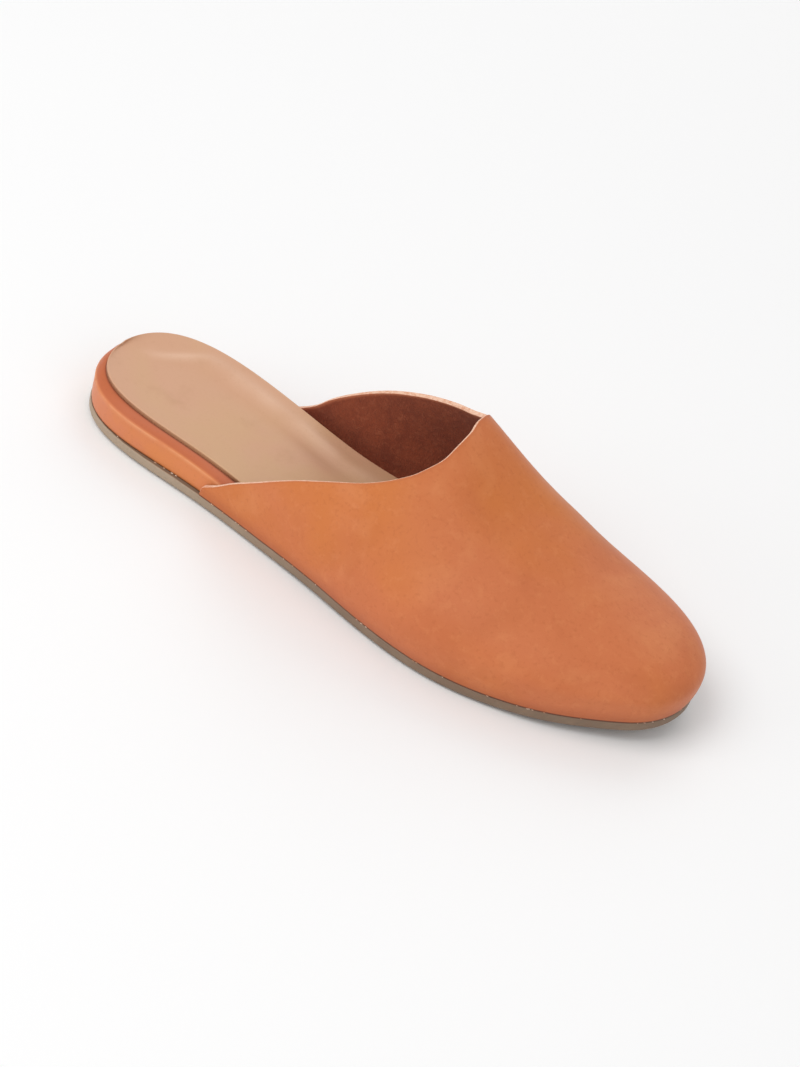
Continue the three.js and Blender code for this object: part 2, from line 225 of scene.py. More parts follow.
@dataclass
class Last:
    """Outline, ground line and heights that every piece of the shoe follows."""

    length: float = 250.0
    heel_radius: float = 31.3
    toe_radius: float = 27.4
    sole_thickness: float = 4.4
    insole_thickness: float = 1.6
    waist_from: float = 92.0
    waist_to: float = 144.0
    waist_lift: float = 0.4
    spring_from: float = 182.0
    toe_spring: float = 6.5
    spring_power: float = 1.8
    apex: float = 178.0
    tuck_turn: float = 0.07
    feather_inset: float = 0.1
    foot_gap: float = 0.05
    flank_from: float = 0.2
    tread_depth: float = 0.45
    seal_centre: tuple[float, float] = (112.0, -5.0)
    outline_samples: int = 721
    shift: Array = field(init=False)

    def __post_init__(self) -> None:
        """Turns the tables into curves and finds where the last stands in the row frame."""
        self.fullness = {side: self._fullness(side) for side in Side}
        self.bed = {key: Spline(FOOTBED["x"], FOOTBED[key]) for key in FOOTBED if key != "x"}
        self.out = {s: Spline(FLANKS["x"], FLANKS[s.name.lower() + "_out"]) for s in Side}
        self.high = {s: Spline(FLANKS["x"], FLANKS[s.name.lower() + "_high"]) for s in Side}
        self.crest_height = Spline(CREST["x"], CREST["height"])
        self.crest_side = Spline(CREST["x"], CREST["side"])
        self.lean = Spline(LEANNESS["x"], LEANNESS["lean"])
        self.topline = {s: SteadyCurve(TOPLINE["turn"], TOPLINE[s.name.lower()]) for s in Side}
        low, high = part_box("outsole")
        stations = np.linspace(0, np.pi, self.outline_samples)
        breadths = [self.outline(stations, side, 0.0)[1] for side in Side]
        middle = (np.min(breadths[0]) + np.max(breadths[1])) / 2
        self.shift = np.array([low.x / MM, (low.y + high.y) / 2 / MM - middle, low.z / MM])

    def _fullness(self, side: Side) -> Spline:
        """Fullness of one side against a half ellipse, so that both ends are truly round.

        Args:
            side: which side of the shoe.

        Returns:
            The fullness as a curve over the distance from the heel.
        """
        share = np.array(PLAN["share"])
        breadth = np.array(PLAN[side.name.lower()])
        full = breadth / (self.length * np.sqrt(share * (1 - share)))
        ends = [math.sqrt(2 * radius / self.length) for radius in (self.heel_radius, self.toe_radius)]
        return Spline([0, *(share * self.length), self.length], [ends[0], *full, ends[1]])

    def station_x(self, station: Array) -> Array:
        """Distance from the heel of a station, which runs from 0 to pi."""
        return self.length / 2 * (1 - np.cos(station))

    def station_at(self, x: Array) -> Array:
        """Station at a distance from the heel."""
        return np.arccos(1 - 2 * np.asarray(x) / self.length)

    def outline(self, station: Array, side: Side, inset: Array) -> tuple[Array, Array]:
        """Outline of the sole, moved inwards.

        Args:
            station: stations from the heel to the toe.
            side: which side of the shoe.
            inset: how far inside the outline, one value or one for each station.

        Returns:
            The x and y of the points.
        """
        step = 1e-4

        def raw(angle: Array) -> tuple[Array, Array]:
            x = self.station_x(angle)
            return x, side.value * self.fullness[side](x) * self.length / 2 * np.sin(angle)

        x, y = raw(station)
        ahead, behind = raw(station + step), raw(station - step)
        along = np.array([ahead[0] - behind[0], ahead[1] - behind[1]])
        along /= np.hypot(*along)
        return x + along[1] * side.value * inset, y - along[0] * side.value * inset

    def ground(self, x: Array) -> Array:
        """Clearance of the sole's underside: a low waist and the toe spring.

        Args:
            x: distance from the heel.

        Returns:
            The clearance above the floor.
        """
        waist = np.clip((x - self.waist_from) / (self.waist_to - self.waist_from), 0, 1)
        spring = np.maximum(x - self.spring_from, 0) / (self.length - self.spring_from)
        return self.waist_lift * np.sin(np.pi * waist) ** 2 + self.toe_spring * spring**self.spring_power

    def sole_top(self, x: Array) -> Array:
        """Height of the outsole's upper face."""
        return self.ground(x) + self.sole_thickness

    def foot_height(self, x: Array) -> Array:
        """Height of the feet of the footbed and the upper, a hair above the outsole."""
        return self.sole_top(x) + self.foot_gap

    def tread_height(self, x: Array) -> Array:
        """Height of the sunk tread field."""
        return self.ground(x) + self.tread_depth

    def bed_top(self, x: Array, across: Array) -> Array:
        """Height of the insole's top.

        Args:
            x: distance from the heel.
            across: place across, from -1 at the lateral edge to 1 at the medial edge.

        Returns:
            The height, without the insole's own ridge and dip.
        """
        flank = self.bed["flank"](x) * smooth_step(self.flank_from, 1, across)
        dish = self.bed["dish"](x) * (1 - across**2)
        return self.sole_top(x) + self.bed["height"](x) + flank - dish

    def upper_point(self, station: Array, side: Side, turn: Array) -> Array:
        """Outer face of the upper.

        Args:
            station: station of the outline where the section starts.
            side: which side of the shoe.
            turn: place on the section, from -tuck_turn at the outsole to 1 at the crest.

        Returns:
            Points, with x, y and z along the array's last axis.
        """
        x = self.station_x(station)
        foot = np.stack(self.outline(station, side, self.feather_inset))
        wide = np.stack(self.outline(station, side, -self.out[side](x)))
        wide_height = self.high[side](x)
        tuck = np.clip(-turn / self.tuck_turn, 0, 1)
        low_plan = mix(wide, foot, tuck * tuck)
        low_height = mix(wide_height, self.foot_height(foot[0]), tuck)
        crest_x = np.minimum(x, self.apex)
        crest = np.stack([crest_x, self.crest_side(crest_x)])
        angle = np.pi / 2 * np.clip(turn, 0, 1)
        hollow = self.lean(x) * np.sin(2 * angle) ** 2
        plan = mix(crest, wide, np.cos(angle) - hollow)
        height = mix(wide_height, self.crest_height(plan[0]), np.sin(angle) - hollow)
        low = turn < 0
        return np.stack([np.where(low, low_plan[0], plan[0]), np.where(low, low_plan[1], plan[1]),
                         np.where(low, low_height, height)], -1)

    def into_leather(self, station: Array, side: Side, turn: Array) -> Array:
        """Unit direction from the outer face of the upper straight into the leather.

        Args:
            station: station of the outline where the section starts.
            side: which side of the shoe.
            turn: place on the section.

        Returns:
            One direction for each point.
        """
        step = 1e-3
        low = self.upper_point(station, side, np.maximum(turn - step, -self.tuck_turn))
        high = self.upper_point(station, side, np.minimum(turn + step, 1))
        behind = self.upper_point(station - step, side, turn)
        ahead = self.upper_point(station + step, side, turn)
        inward = np.cross(high - low, ahead - behind) * -side.value
        x = np.minimum(self.station_x(station), self.apex)
        slope = self.crest_height(x + 0.5) - self.crest_height(x - 0.5)
        crest = np.stack([slope, np.zeros_like(slope), -np.ones_like(slope)], -1)
        inward = np.where((turn > 1 - 1e-6)[..., None], crest, inward)
        return inward / np.maximum(np.linalg.norm(inward, axis=-1, keepdims=True), 1e-12)


# ---- Meshes ----


def add_object(name: str, data: bpy.types.ID) -> bpy.types.Object:
    """Puts a new object with the given data in the scene, at the origin."""
    made = bpy.data.objects.new(name, data)
    bpy.context.scene.collection.objects.link(made)
    return made


class MeshDraft:
    """Sheets of one piece, gathered before they become a closed mesh."""

    WELD = 3e-6
    SLIVER = 1e-7

    def __init__(self, last: Last, traits: Sequence[str] = ()) -> None:
        """Starts an empty draft.

        Args:
            last: the last, which gives the place of the piece in the row frame.
            traits: names of the numbers that each point carries for its finish.
        """
        self.last = last
        self.points: list[Array] = []
        self.faces: list[Array] = []
        self.finishes: list[Array] = []
        self.traits: dict[str, list[Array]] = {name: [] for name in traits}
        self.count = 0

    def sheet(self, grid: Array, finish: int = 0, traits: Mapping[str, Array] | None = None) -> None:
        """Adds a grid of points as quads.

        Args:
            grid: points, as rows by columns by 3, in millimetres of the last.
            finish: index of the finish that the sheet takes.
            traits: numbers of the points, as rows by columns; a missing one is 0.
        """
        rows, columns = grid.shape[:2]
        index = self.count + np.arange(rows * columns).reshape(rows, columns)
        quads = np.stack([index[:-1, :-1], index[:-1, 1:], index[1:, 1:], index[1:, :-1]], -1)
        self.points.append(grid.reshape(-1, 3))
        self.faces.append(quads.reshape(-1, 4))
        self.finishes.append(np.full(quads.shape[0] * quads.shape[1], finish))
        for name, values in self.traits.items():
            given = (traits or {}).get(name, np.zeros((rows, columns)))
            values.append(np.broadcast_to(given, (rows, columns)).reshape(-1))
        self.count += rows * columns

    def mesh_object(self, name: str, finishes: Sequence[bpy.types.Material]) -> bpy.types.Object:
        """Welds the sheets into one smooth-shaded object.

        Args:
            name: name of the piece.
            finishes: its materials, in the order of the finish indices.

        Returns:
            The new object, at the origin of the row frame.
        """
        mesh = bpy.data.meshes.new(name)
        points = (np.concatenate(self.points) + self.last.shift) * MM
        mesh.from_pydata(points.tolist(), [], np.concatenate(self.faces).tolist())
        mesh.polygons.foreach_set("material_index", np.concatenate(self.finishes).astype(np.int32))
        for key, values in self.traits.items():
            layer = mesh.attributes.new(key, "FLOAT", "POINT")
            layer.data.foreach_set("value", np.concatenate(values).astype(np.float32))
        for finish in finishes:
            mesh.materials.append(finish)
        edit = bmesh.new()
        edit.from_mesh(mesh)
        bmesh.ops.remove_doubles(edit, verts=edit.verts, dist=self.WELD)
        bmesh.ops.dissolve_degenerate(edit, edges=edit.edges, dist=self.SLIVER)
        bmesh.ops.recalc_face_normals(edit, faces=edit.faces)
        open_edges = sum(1 for edge in edit.edges if len(edge.link_faces) != 2)
        edit.to_mesh(mesh)
        edit.free()
        mesh.polygons.foreach_set("use_smooth", [True] * len(mesh.polygons))
        LOG.info("%s: %d faces, %d open edges", name, len(mesh.polygons), open_edges)
        return add_object(name, mesh)


def settle(piece: bpy.types.Object, slot: str, *nodes: str) -> bpy.types.Object:
    """Puts a finished piece on its CAD body.

    Args:
        piece: the finished object.
        slot: material slot of the record; not used.
        nodes: CAD nodes that it stands for.

    Returns:
        The same object.
    """
    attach(piece, BODY)
    if nodes:
        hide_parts(*nodes)
    return piece


# ---- Node trees ----


class Value:
    """A number socket whose operators add Math nodes."""

    def __init__(self, tree: "NodeTree", socket: bpy.types.NodeSocket) -> None:
        """Wraps a socket of a tree."""
        self.tree, self.socket = tree, socket

    def __add__(self, other: Any) -> "Value":
        """Sum."""
        return self.tree.math("ADD", self, other)

    __radd__ = __add__

    def __sub__(self, other: Any) -> "Value":
        """Difference."""
        return self.tree.math("SUBTRACT", self, other)

    def __rsub__(self, other: Any) -> "Value":
        """Difference from a plain number."""
        return self.tree.math("SUBTRACT", other, self)

    def __mul__(self, other: Any) -> "Value":
        """Product."""
        return self.tree.math("MULTIPLY", self, other)

    def __pow__(self, other: Any) -> "Value":
        """Power."""
        return self.tree.math("POWER", self, other)

    def step(self, low: float, high: float) -> "Value":
        """Soft step from 0 at low to 1 at high, which may be the smaller number.

        Args:
            low: where the step is 0.
            high: where the step is 1.

        Returns:
            The step as a number.
        """
        settings = {"interpolation_type": "SMOOTHSTEP"}
        inputs = {"Value": self, "From Min": min(low, high), "From Max": max(low, high)}
        node = self.tree.node("ShaderNodeMapRange", settings, inputs)
        risen = Value(self.tree, node.outputs["Result"])
        return 1 - risen if low > high else risen


class NodeTree:
    """A node tree that is written one node at a time."""

    def __init__(self, tree: bpy.types.NodeTree) -> None:
        """Wraps a Blender node tree."""
        self.tree = tree

    def node(self, kind: str, settings: Mapping[str, Any] | None = None,
             inputs: Mapping[Any, Any] | None = None) -> bpy.types.Node:
        """Adds a node.

        Args:
            kind: Blender's type name of the node.
            settings: its properties, which are set before its sockets.
            inputs: a value or a link for each socket, by identifier, name or number.

        Returns:
            The new node.
        """
        made = self.tree.nodes.new(kind)
        for key, value in (settings or {}).items():
            setattr(made, key, value)
        for key, value in (inputs or {}).items():
            self.feed(self.socket(made.inputs, key), value)
        return made

    @staticmethod
    def socket(sockets: Any, key: Any) -> bpy.types.NodeSocket:
        """Finds a socket by number, identifier or name.

        Args:
            sockets: inputs or outputs of a node.
            key: number, identifier or name.

        Returns:
            The socket.
        """
        if isinstance(key, int):
            return sockets[key]
        return next((s for s in sockets if s.identifier == key), None) or sockets[key]

    def feed(self, socket: bpy.types.NodeSocket, value: Any) -> None:
        """Links a socket to another one, or sets its number or colour.

        Args:
            socket: the socket that is fed.
            value: a socket, a Value, a number, a vector or a colour.
        """
        source = value.socket if isinstance(value, Value) else value
        if isinstance(source, bpy.types.NodeSocket):
            self.tree.links.new(source, socket)
        elif socket.type == "RGBA":
            socket.default_value = (*source, 1)
        else:
            socket.default_value = source

    def math(self, operation: str, *values: Any) -> Value:
        """Adds a Math node and returns its result."""
        node = self.node("ShaderNodeMath", {"operation": operation}, dict(enumerate(values)))
        return Value(self, node.outputs[0])


def srgb(red: int, green: int, blue: int) -> Colour:
    """Linear colour of a colour that is given as it looks on a screen, 0 to 255."""
    shares = [channel / 255 for channel in (red, green, blue)]
    return tuple(c / 12.92 if c <= 0.04045 else ((c + 0.055) / 1.055) ** 2.4 for c in shares)


@dataclass(frozen=True)
class Mottle:
    """A cloudy pattern, and the band of it in which a second colour comes in.

    The scale is in features for each metre, detail is the octaves of finer pattern, rough their
    strength, and twist the distortion. The colour goes from none at low to its share at high.
    """

    scale: float
    detail: float = 3.0
    rough: float = 0.6
    twist: float = 0.0
    low: float = 0.4
    high: float = 0.6
    share: float = 1.0
    stretch: tuple[float, float, float] = (1.0, 1.0, 1.0)


@dataclass(frozen=True)
class Fade:
    """A second colour that comes in as a trait of the mesh goes from one number to another."""

    trait: str
    none: float
    full: float
    share: float = 1.0


@dataclass(frozen=True)
class Grain:
    """Relief and gloss of a smooth leather: pebbles and pores on a soft swell, under a thin coat."""

    pebbles: float
    pores: float
    depth_mm: float
    swell: float
    swell_mm: float
    gloss_scale: float
    gloss_spread: float = 0.12
    roughness: float = 0.5
    coat: float = 0.06
    pebble_share: float = 0.6


class Shade(NodeTree):
    """The shader tree of one material."""

    def __init__(self, name: str) -> None:
        """Makes an empty material."""
        self.material = bpy.data.materials.new(name)
        self.material.use_nodes = True
        super().__init__(self.material.node_tree)
        self.tree.nodes.clear()
        self.place = self.node("ShaderNodeTexCoord").outputs["Object"]

    def noise(self, mottle: Mottle) -> Value:
        """Cloudy pattern of a mottle, with values around 0.5.

        Args:
            mottle: scale, octaves, distortion and stretch of the pattern.

        Returns:
            The pattern as a number.
        """
        place = self.place
        if mottle.stretch != (1, 1, 1):
            inputs = {"Vector": place, "Scale": mottle.stretch}
            place = self.node("ShaderNodeMapping", None, inputs).outputs[0]
        inputs = {"Vector": place, "Scale": mottle.scale, "Detail": mottle.detail,
                  "Roughness": mottle.rough, "Distortion": mottle.twist}
        return Value(self, self.node("ShaderNodeTexNoise", None, inputs).outputs[0])

    def cells(self, scale: float) -> Value:
        """Distance from the middle of a random cell, as the pebbles of a grain."""
        values = {"Vector": self.place, "Scale": scale, "Randomness": 1.0}
        return Value(self, self.node("ShaderNodeTexVoronoi", None, values).outputs["Distance"])

    def trait(self, name: str) -> Value:
        """Number that the mesh carries at each point."""
        settings = {"attribute_name": name, "attribute_type": "GEOMETRY"}
        return Value(self, self.node("ShaderNodeAttribute", settings).outputs["Fac"])

    def blend(self, share: Any, base: Any, other: Any) -> bpy.types.NodeSocket:
        """Mixes two colours by a share.

        Args:
            share: share of the second colour.
            base: first colour.
            other: second colour.

        Returns:
            The mixed colour.
        """
        settings = {"data_type": "RGBA", "blend_type": "MIX", "clamp_factor": True}
        inputs = {"Factor_Float": share, "A_Color": base, "B_Color": other}
        return self.socket(self.node("ShaderNodeMix", settings, inputs).outputs, "Result_Color")

    def mottled(self, base: Any, other: Any, mottle: Mottle, pattern: Value | None = None) -> Any:
        """Lays a second colour over a base in the band of a mottle.

        Args:
            base: the colour below.
            other: the colour that comes in.
            mottle: the pattern, its band and the colour's share.
            pattern: the mottle's own noise, where it already stands in the tree.

        Returns:
            The mixed colour.
        """
        clouds = self.noise(mottle) if pattern is None else pattern
        return self.blend(clouds.step(mottle.low, mottle.high) * mottle.share, base, other)

    def faded(self, base: Any, other: Any, fade: Fade) -> Any:
        """Lays a second colour over a base where a trait of the mesh says so."""
        return self.blend(self.trait(fade.trait).step(fade.none, fade.full) * fade.share, base, other)

    def bump(self, height: Value, depth_mm: float, below: Any = None) -> bpy.types.NodeSocket:
        """Relief of a given depth, laid over another relief.

        Args:
            height: pattern from 0 to 1.
            depth_mm: depth of the relief.
            below: relief that it lies on.

        Returns:
            The shading normal.
        """
        inputs = {"Height": height, "Distance": depth_mm * MM, "Strength": 1.0}
        if below is not None:
            inputs["Normal"] = below
        return self.node("ShaderNodeBump", None, inputs).outputs[0]

    def surface(self, colour: Any, roughness: Any, normal: Any, **constants: Any) -> bpy.types.Material:
        """Finishes the material.

        Args:
            colour: base colour.
            roughness: roughness.
            normal: shading normal.
            constants: other sockets of the surface, with underscores for spaces.

        Returns:
            The material.
        """
        inputs = {"Base Color": colour, "Roughness": roughness, "Normal": normal}
        inputs.update({key.replace("_", " "): value for key, value in constants.items()})
        made = self.node("ShaderNodeBsdfPrincipled", None, inputs)
        self.node("ShaderNodeOutputMaterial", None, {"Surface": made.outputs[0]})
        return self.material

    def leather(self, colour: Any, grain: Grain) -> bpy.types.Material:
        """Finishes the material as smooth leather.

        Args:
            colour: base colour.
            grain: its relief and gloss.

        Returns:
            The material.
        """
        wander = self.noise(Mottle(grain.gloss_scale)) * grain.gloss_spread
        roughness = grain.roughness + wander - grain.gloss_spread / 2
        pores = self.noise(Mottle(grain.pores)) * (1 - grain.pebble_share)
        relief = self.cells(grain.pebbles) * grain.pebble_share + pores
        normal = self.bump(self.noise(Mottle(grain.swell, 2, 0.5)), grain.swell_mm)
        normal = self.bump(relief, grain.depth_mm, normal)
        return self.surface(colour, roughness, normal, Coat_Weight=grain.coat, Coat_Roughness=0.35,
                            Specular_IOR_Level=0.35)


# ---- Finishes ----


@dataclass(frozen=True)
class TanLeather:
    """Smooth vegetable-tanned leather, mottled between orange and rose, with a fine grain."""

    name: str = "tan_leather"
    orange: Colour = srgb(205, 116, 54)
    rose: Colour = srgb(205, 115, 68)
    pale: Colour = srgb(219, 139, 86)
    dark: Colour = srgb(174, 84, 38)
    # deep: colour of the painted shadow line at the foot of the upper.
    deep: Colour = srgb(92, 40, 22)
    clouds: Mottle = Mottle(16, 2.5, 0.55, 0.4, 0.36, 0.62)
    patches: Mottle = Mottle(42, 3, 0.6, 0.6, 0.5, 0.78, 0.4)
    shadows: Mottle = Mottle(27, 3, 0.6, 0.8, 0.46, 0.76, 0.26)
    pores: Mottle = Mottle(620, 3, 0.65, 0, 0.5, 0.76, 0.26)
    flecks: Mottle = Mottle(260, 4, 0.7, 0.3, 0.5, 0.7, 0.22)
    # Painted shade: the upper darkens over its lowest 7 mm, towards its join with the outsole.
    sole_join_shade: Fade = Fade("foot", 7.0, 0.8, 0.45)
    # Painted shadow: a dark line along the lowest 0.9 mm, where the upper meets the outsole.
    feather: Fade = Fade("foot", 0.9, 0.25, 0.85)
    burnish: Fade = Fade("edge", 1.4, 0.2, 0.3)
    grain: Grain = Grain(1300, 900, 0.05, 48, 0.22, 130)

    def material(self) -> bpy.types.Material:
        """Builds the material."""
        shade = Shade(self.name)
        colour = shade.mottled(self.orange, self.rose, self.clouds)
        colour = shade.mottled(colour, self.pale, self.patches)
        colour = shade.mottled(colour, self.dark, self.shadows)
        colour = shade.mottled(colour, self.dark, self.pores)
        colour = shade.mottled(colour, self.pale, self.flecks)
        # Painted shade towards the outsole join.
        colour = shade.faded(colour, self.dark, self.sole_join_shade)
        # Painted shadow line where the upper meets the outsole.
        colour = shade.faded(colour, self.deep, self.feather)
        colour = shade.faded(colour, self.dark, self.burnish)
        return shade.leather(colour, self.grain)


@dataclass(frozen=True)
class FleshSuede:
    """Flesh side of the leather: dark, napped and blotchy."""

    name: str = "flesh_suede"
    dark: Colour = srgb(132, 60, 34)
    mid: Colour = srgb(166, 84, 50)
    light: Colour = srgb(204, 124, 88)
    blotches: Mottle = Mottle(110, 4, 0.65, 0.9, 0.36, 0.64)
    nap: Mottle = Mottle(420, 4, 0.7, 0.5, 0.48, 0.72, 0.6)
    fibres: Mottle = Mottle(1500, 3, 0.7, 0, 0.3, 0.5, 0.4, (1, 1, 0.4))
    rubbed: Fade = Fade("edge", 2.2, 0.1, 0.5)
    nap_mm: float = 0.25
    fibre_mm: float = 0.16
    roughness: float = 0.94
    sheen: float = 0.08

    def material(self) -> bpy.types.Material:
        """Builds the material."""
        shade = Shade(self.name)
        nap, fibres = shade.noise(self.nap), shade.noise(self.fibres)
        colour = shade.mottled(self.dark, self.mid, self.blotches)
        colour = shade.mottled(colour, self.light, self.nap, nap)
        colour = shade.mottled(self.dark, colour, self.fibres, fibres)
        colour = shade.faded(colour, self.light, self.rubbed)
        normal = shade.bump(fibres, self.fibre_mm, shade.bump(nap, self.nap_mm))
        return shade.surface(colour, self.roughness, normal, Sheen_Weight=self.sheen, Sheen_Roughness=0.5)


@dataclass(frozen=True)
class CutEdge:
    """Raw cut edge of the leather, pale and slightly fibrous."""

    name: str = "cut_edge"
    pale: Colour = srgb(240, 198, 172)
    rosy: Colour = srgb(216, 148, 112)
    fibres: Mottle = Mottle(900, 4, 0.7, 0, 0.4, 0.72)
    smears: Mottle = Mottle(160, 3, 0.6, 0, 0.55, 0.75, 0.5)
    fibre_mm: float = 0.12
    roughness: float = 0.8

    def material(self) -> bpy.types.Material:
        """Builds the material."""
        shade = Shade(self.name)
        fibres = shade.noise(self.fibres)
        colour = shade.mottled(self.pale, self.rosy, self.fibres, fibres)
        colour = shade.mottled(colour, self.rosy, self.smears)
        return shade.surface(colour, self.roughness, shade.bump(fibres, self.fibre_mm))


@dataclass(frozen=True)
class RimLeather:
    """Tan leather wrapped over the footbed: lighter on its face, darker where it rolls inwards."""

    name: str = "rim_leather"
    face: Colour = srgb(216, 130, 74)
    rose: Colour = srgb(212, 126, 84)
    roll: Colour = srgb(188, 96, 55)
    # deep: colour of the painted shadow lines at the foot of the rim and under the insole's edge, and of the
    # pores.
    deep: Colour = srgb(118, 56, 32)
    # line: colour of a painted highlight along the shoulder between the face and the roll.
    line: Colour = srgb(236, 170, 122)
    clouds: Mottle = Mottle(38, 3, 0.6, 0.5, 0.38, 0.66)
    rolling: Fade = Fade("roll", 0.06, 0.3, 0.9)
    # Painted shadow: the inner end of the roll goes dark where it runs under the insole's edge.
    gap_shadow: Fade = Fade("roll", 0.8, 1.0, 0.8)
    # Band of the roll trait at the shoulder, where the painted highlight runs.
    ridge_rise: tuple[float, float] = (-0.05, 0.02)
    ridge_fall: tuple[float, float] = (0.14, 0.04)
    # Patches that break up the painted highlight.
    painted_sheen: Mottle = Mottle(70, 3, 0.6, 0, 0.35, 0.6, 0.45)
    # Painted shadow: a dark line at the foot of the wrapped rim, where it meets the outsole.
    sole_join_shade: Fade = Fade("foot", 0.6, 0.1, 0.8)
    pores: Mottle = Mottle(700, 3, 0.65, 0, 0.54, 0.8, 0.15)
    grain: Grain = Grain(1500, 1000, 0.03, 90, 0.18, 120)

    def material(self) -> bpy.types.Material:
        """Builds the material."""
        shade = Shade(self.name)
        colour = shade.mottled(self.face, self.rose, self.clouds)
        colour = shade.faded(colour, self.roll, self.rolling)
        # Painted shadow in the gap under the insole's edge.
        colour = shade.faded(colour, self.deep, self.gap_shadow)
        # Painted highlight: a pale line along the shoulder of the roll, broken into patches.
        roll = shade.trait("roll")
        ridge = roll.step(*self.ridge_rise) * roll.step(*self.ridge_fall)
        painted_sheen = shade.noise(self.painted_sheen).step(self.painted_sheen.low, self.painted_sheen.high)
        colour = shade.blend(ridge * painted_sheen * self.painted_sheen.share, colour, self.line)
        # Painted shadow line at the outsole join.
        colour = shade.faded(colour, self.deep, self.sole_join_shade)
        colour = shade.mottled(colour, self.deep, self.pores)
        return shade.leather(colour, self.grain)


@dataclass(frozen=True)
class BedLeather:
    """Smooth beige sock leather of the insole."""

    name: str = "bed_leather"
    beige: Colour = srgb(208, 164, 125)
    rosy: Colour = srgb(210, 161, 129)
    dull: Colour = srgb(188, 140, 102)
    # Colour of a painted highlight along the soft medial ridge.
    painted_sheen: Colour = srgb(232, 192, 164)
    # edge: brown of the insole's side edge, also used for painted shade in the dip and at the edge's foot.
    edge: Colour = srgb(150, 98, 64)
    clouds: Mottle = Mottle(22, 3, 0.55, 0.4, 0.36, 0.64)
    smears: Mottle = Mottle(60, 3, 0.6, 0, 0.55, 0.8, 0.35)
    # Streaks that break up the ridge's painted highlight.
    streaks: Mottle = Mottle(36, 2, 0.5, 0, 0.3, 0.6, 0.55)
    # Share of the painted shade in the dip at the waist.
    dip_shade: float = 0.3
    # Brown on the insole's side edge, strongest at its foot: partly the edge's own colour, partly painted
    # shade where it meets the roll.
    rim: Fade = Fade("rim", 0.7, 0.1, 0.75)
    pores: Mottle = Mottle(760, 3, 0.65, 0, 0.52, 0.8, 0.18)
    grain: Grain = Grain(1700, 1300, 0.025, 40, 0.2, 100, 0.1, coat=0.05)

    def material(self) -> bpy.types.Material:
        """Builds the material."""
        shade = Shade(self.name)
        colour = shade.mottled(self.beige, self.rosy, self.clouds)
        colour = shade.mottled(colour, self.dull, self.smears)
        # Painted highlight: pale streaks along the soft ridge, where it catches the light.
        streaks = shade.noise(self.streaks).step(self.streaks.low, self.streaks.high)
        colour = shade.blend(shade.trait("ridge") * streaks * self.streaks.share, colour, self.painted_sheen)
        # Painted shade in the dip beside the ridge, at the waist.
        colour = shade.blend(shade.trait("dip") * self.dip_shade, colour, self.edge)
        # Brown side edge: own colour, with painted shade at its foot.
        colour = shade.faded(colour, self.edge, self.rim)
        colour = shade.mottled(colour, self.dull, self.pores)
        return shade.leather(colour, self.grain)


@dataclass(frozen=True)
class SoleRubber:
    """Matt moulded rubber, a little paler on its side wall, with painted light making the wall much paler
    towards the heel.
    """

    name: str = "sole_rubber"
    base: Colour = srgb(120, 97, 78)
    # Pale taupe: a slightly paler side wall, random patches, and the painted light at the heel.
    pale_taupe: Colour = srgb(170, 150, 128)
    dark: Colour = srgb(84, 64, 50)
    clouds: Mottle = Mottle(60, 4, 0.6, 0.5, 0.35, 0.75, 0.2)
    specks: Mottle = Mottle(900, 3, 0.7, 0, 0.56, 0.8, 0.3)
    wall_pale: float = 0.1
    # Painted light: the side wall turns much paler towards the heel, between two object x places in metres.
    heel_light: float = 0.85
    heel_light_from: float = 0.03
    heel_light_to: float = -0.1
    roughness: float = 0.6
    roughness_spread: float = 0.12
    pores: float = 1300
    pore_mm: float = 0.03

    def material(self) -> bpy.types.Material:
        """Builds the material."""
        shade = Shade(self.name)
        clouds = shade.noise(self.clouds)
        along = Value(shade, shade.node("ShaderNodeSeparateXYZ", None, {0: shade.place}).outputs[0])
        # Painted light at the heel end of the side wall, on top of a slightly paler wall.
        heel = along.step(self.heel_light_from, self.heel_light_to) * self.heel_light
        pale_share = shade.trait("wall") * (self.wall_pale + heel)
        patches = clouds.step(self.clouds.low, self.clouds.high) * self.clouds.share
        colour = shade.blend(pale_share + patches, self.base, self.pale_taupe)
        colour = shade.mottled(colour, self.dark, self.specks)
        roughness = clouds * self.roughness_spread + self.roughness
        return shade.surface(colour, roughness, shade.bump(shade.noise(Mottle(self.pores)), self.pore_mm))


@dataclass(frozen=True)
class DriedGlue:
    """Small pale crumbs of dried cement along the feather line."""

    name: str = "dried_glue"
    pale: Colour = srgb(226, 200, 176)
    tan: Colour = srgb(200, 150, 116)
    spots: Mottle = Mottle(300, 3, 0.6, 0, 0.4, 0.6)
    relief_mm: float = 0.05
    roughness: float = 0.55

    def material(self) -> bpy.types.Material:
        """Builds the material."""
        shade = Shade(self.name)
        spots = shade.noise(self.spots)
        colour = shade.mottled(self.pale, self.tan, self.spots, spots)
        return shade.surface(colour, self.roughness, shade.bump(spots, self.relief_mm))


# ---- Sole pieces ----


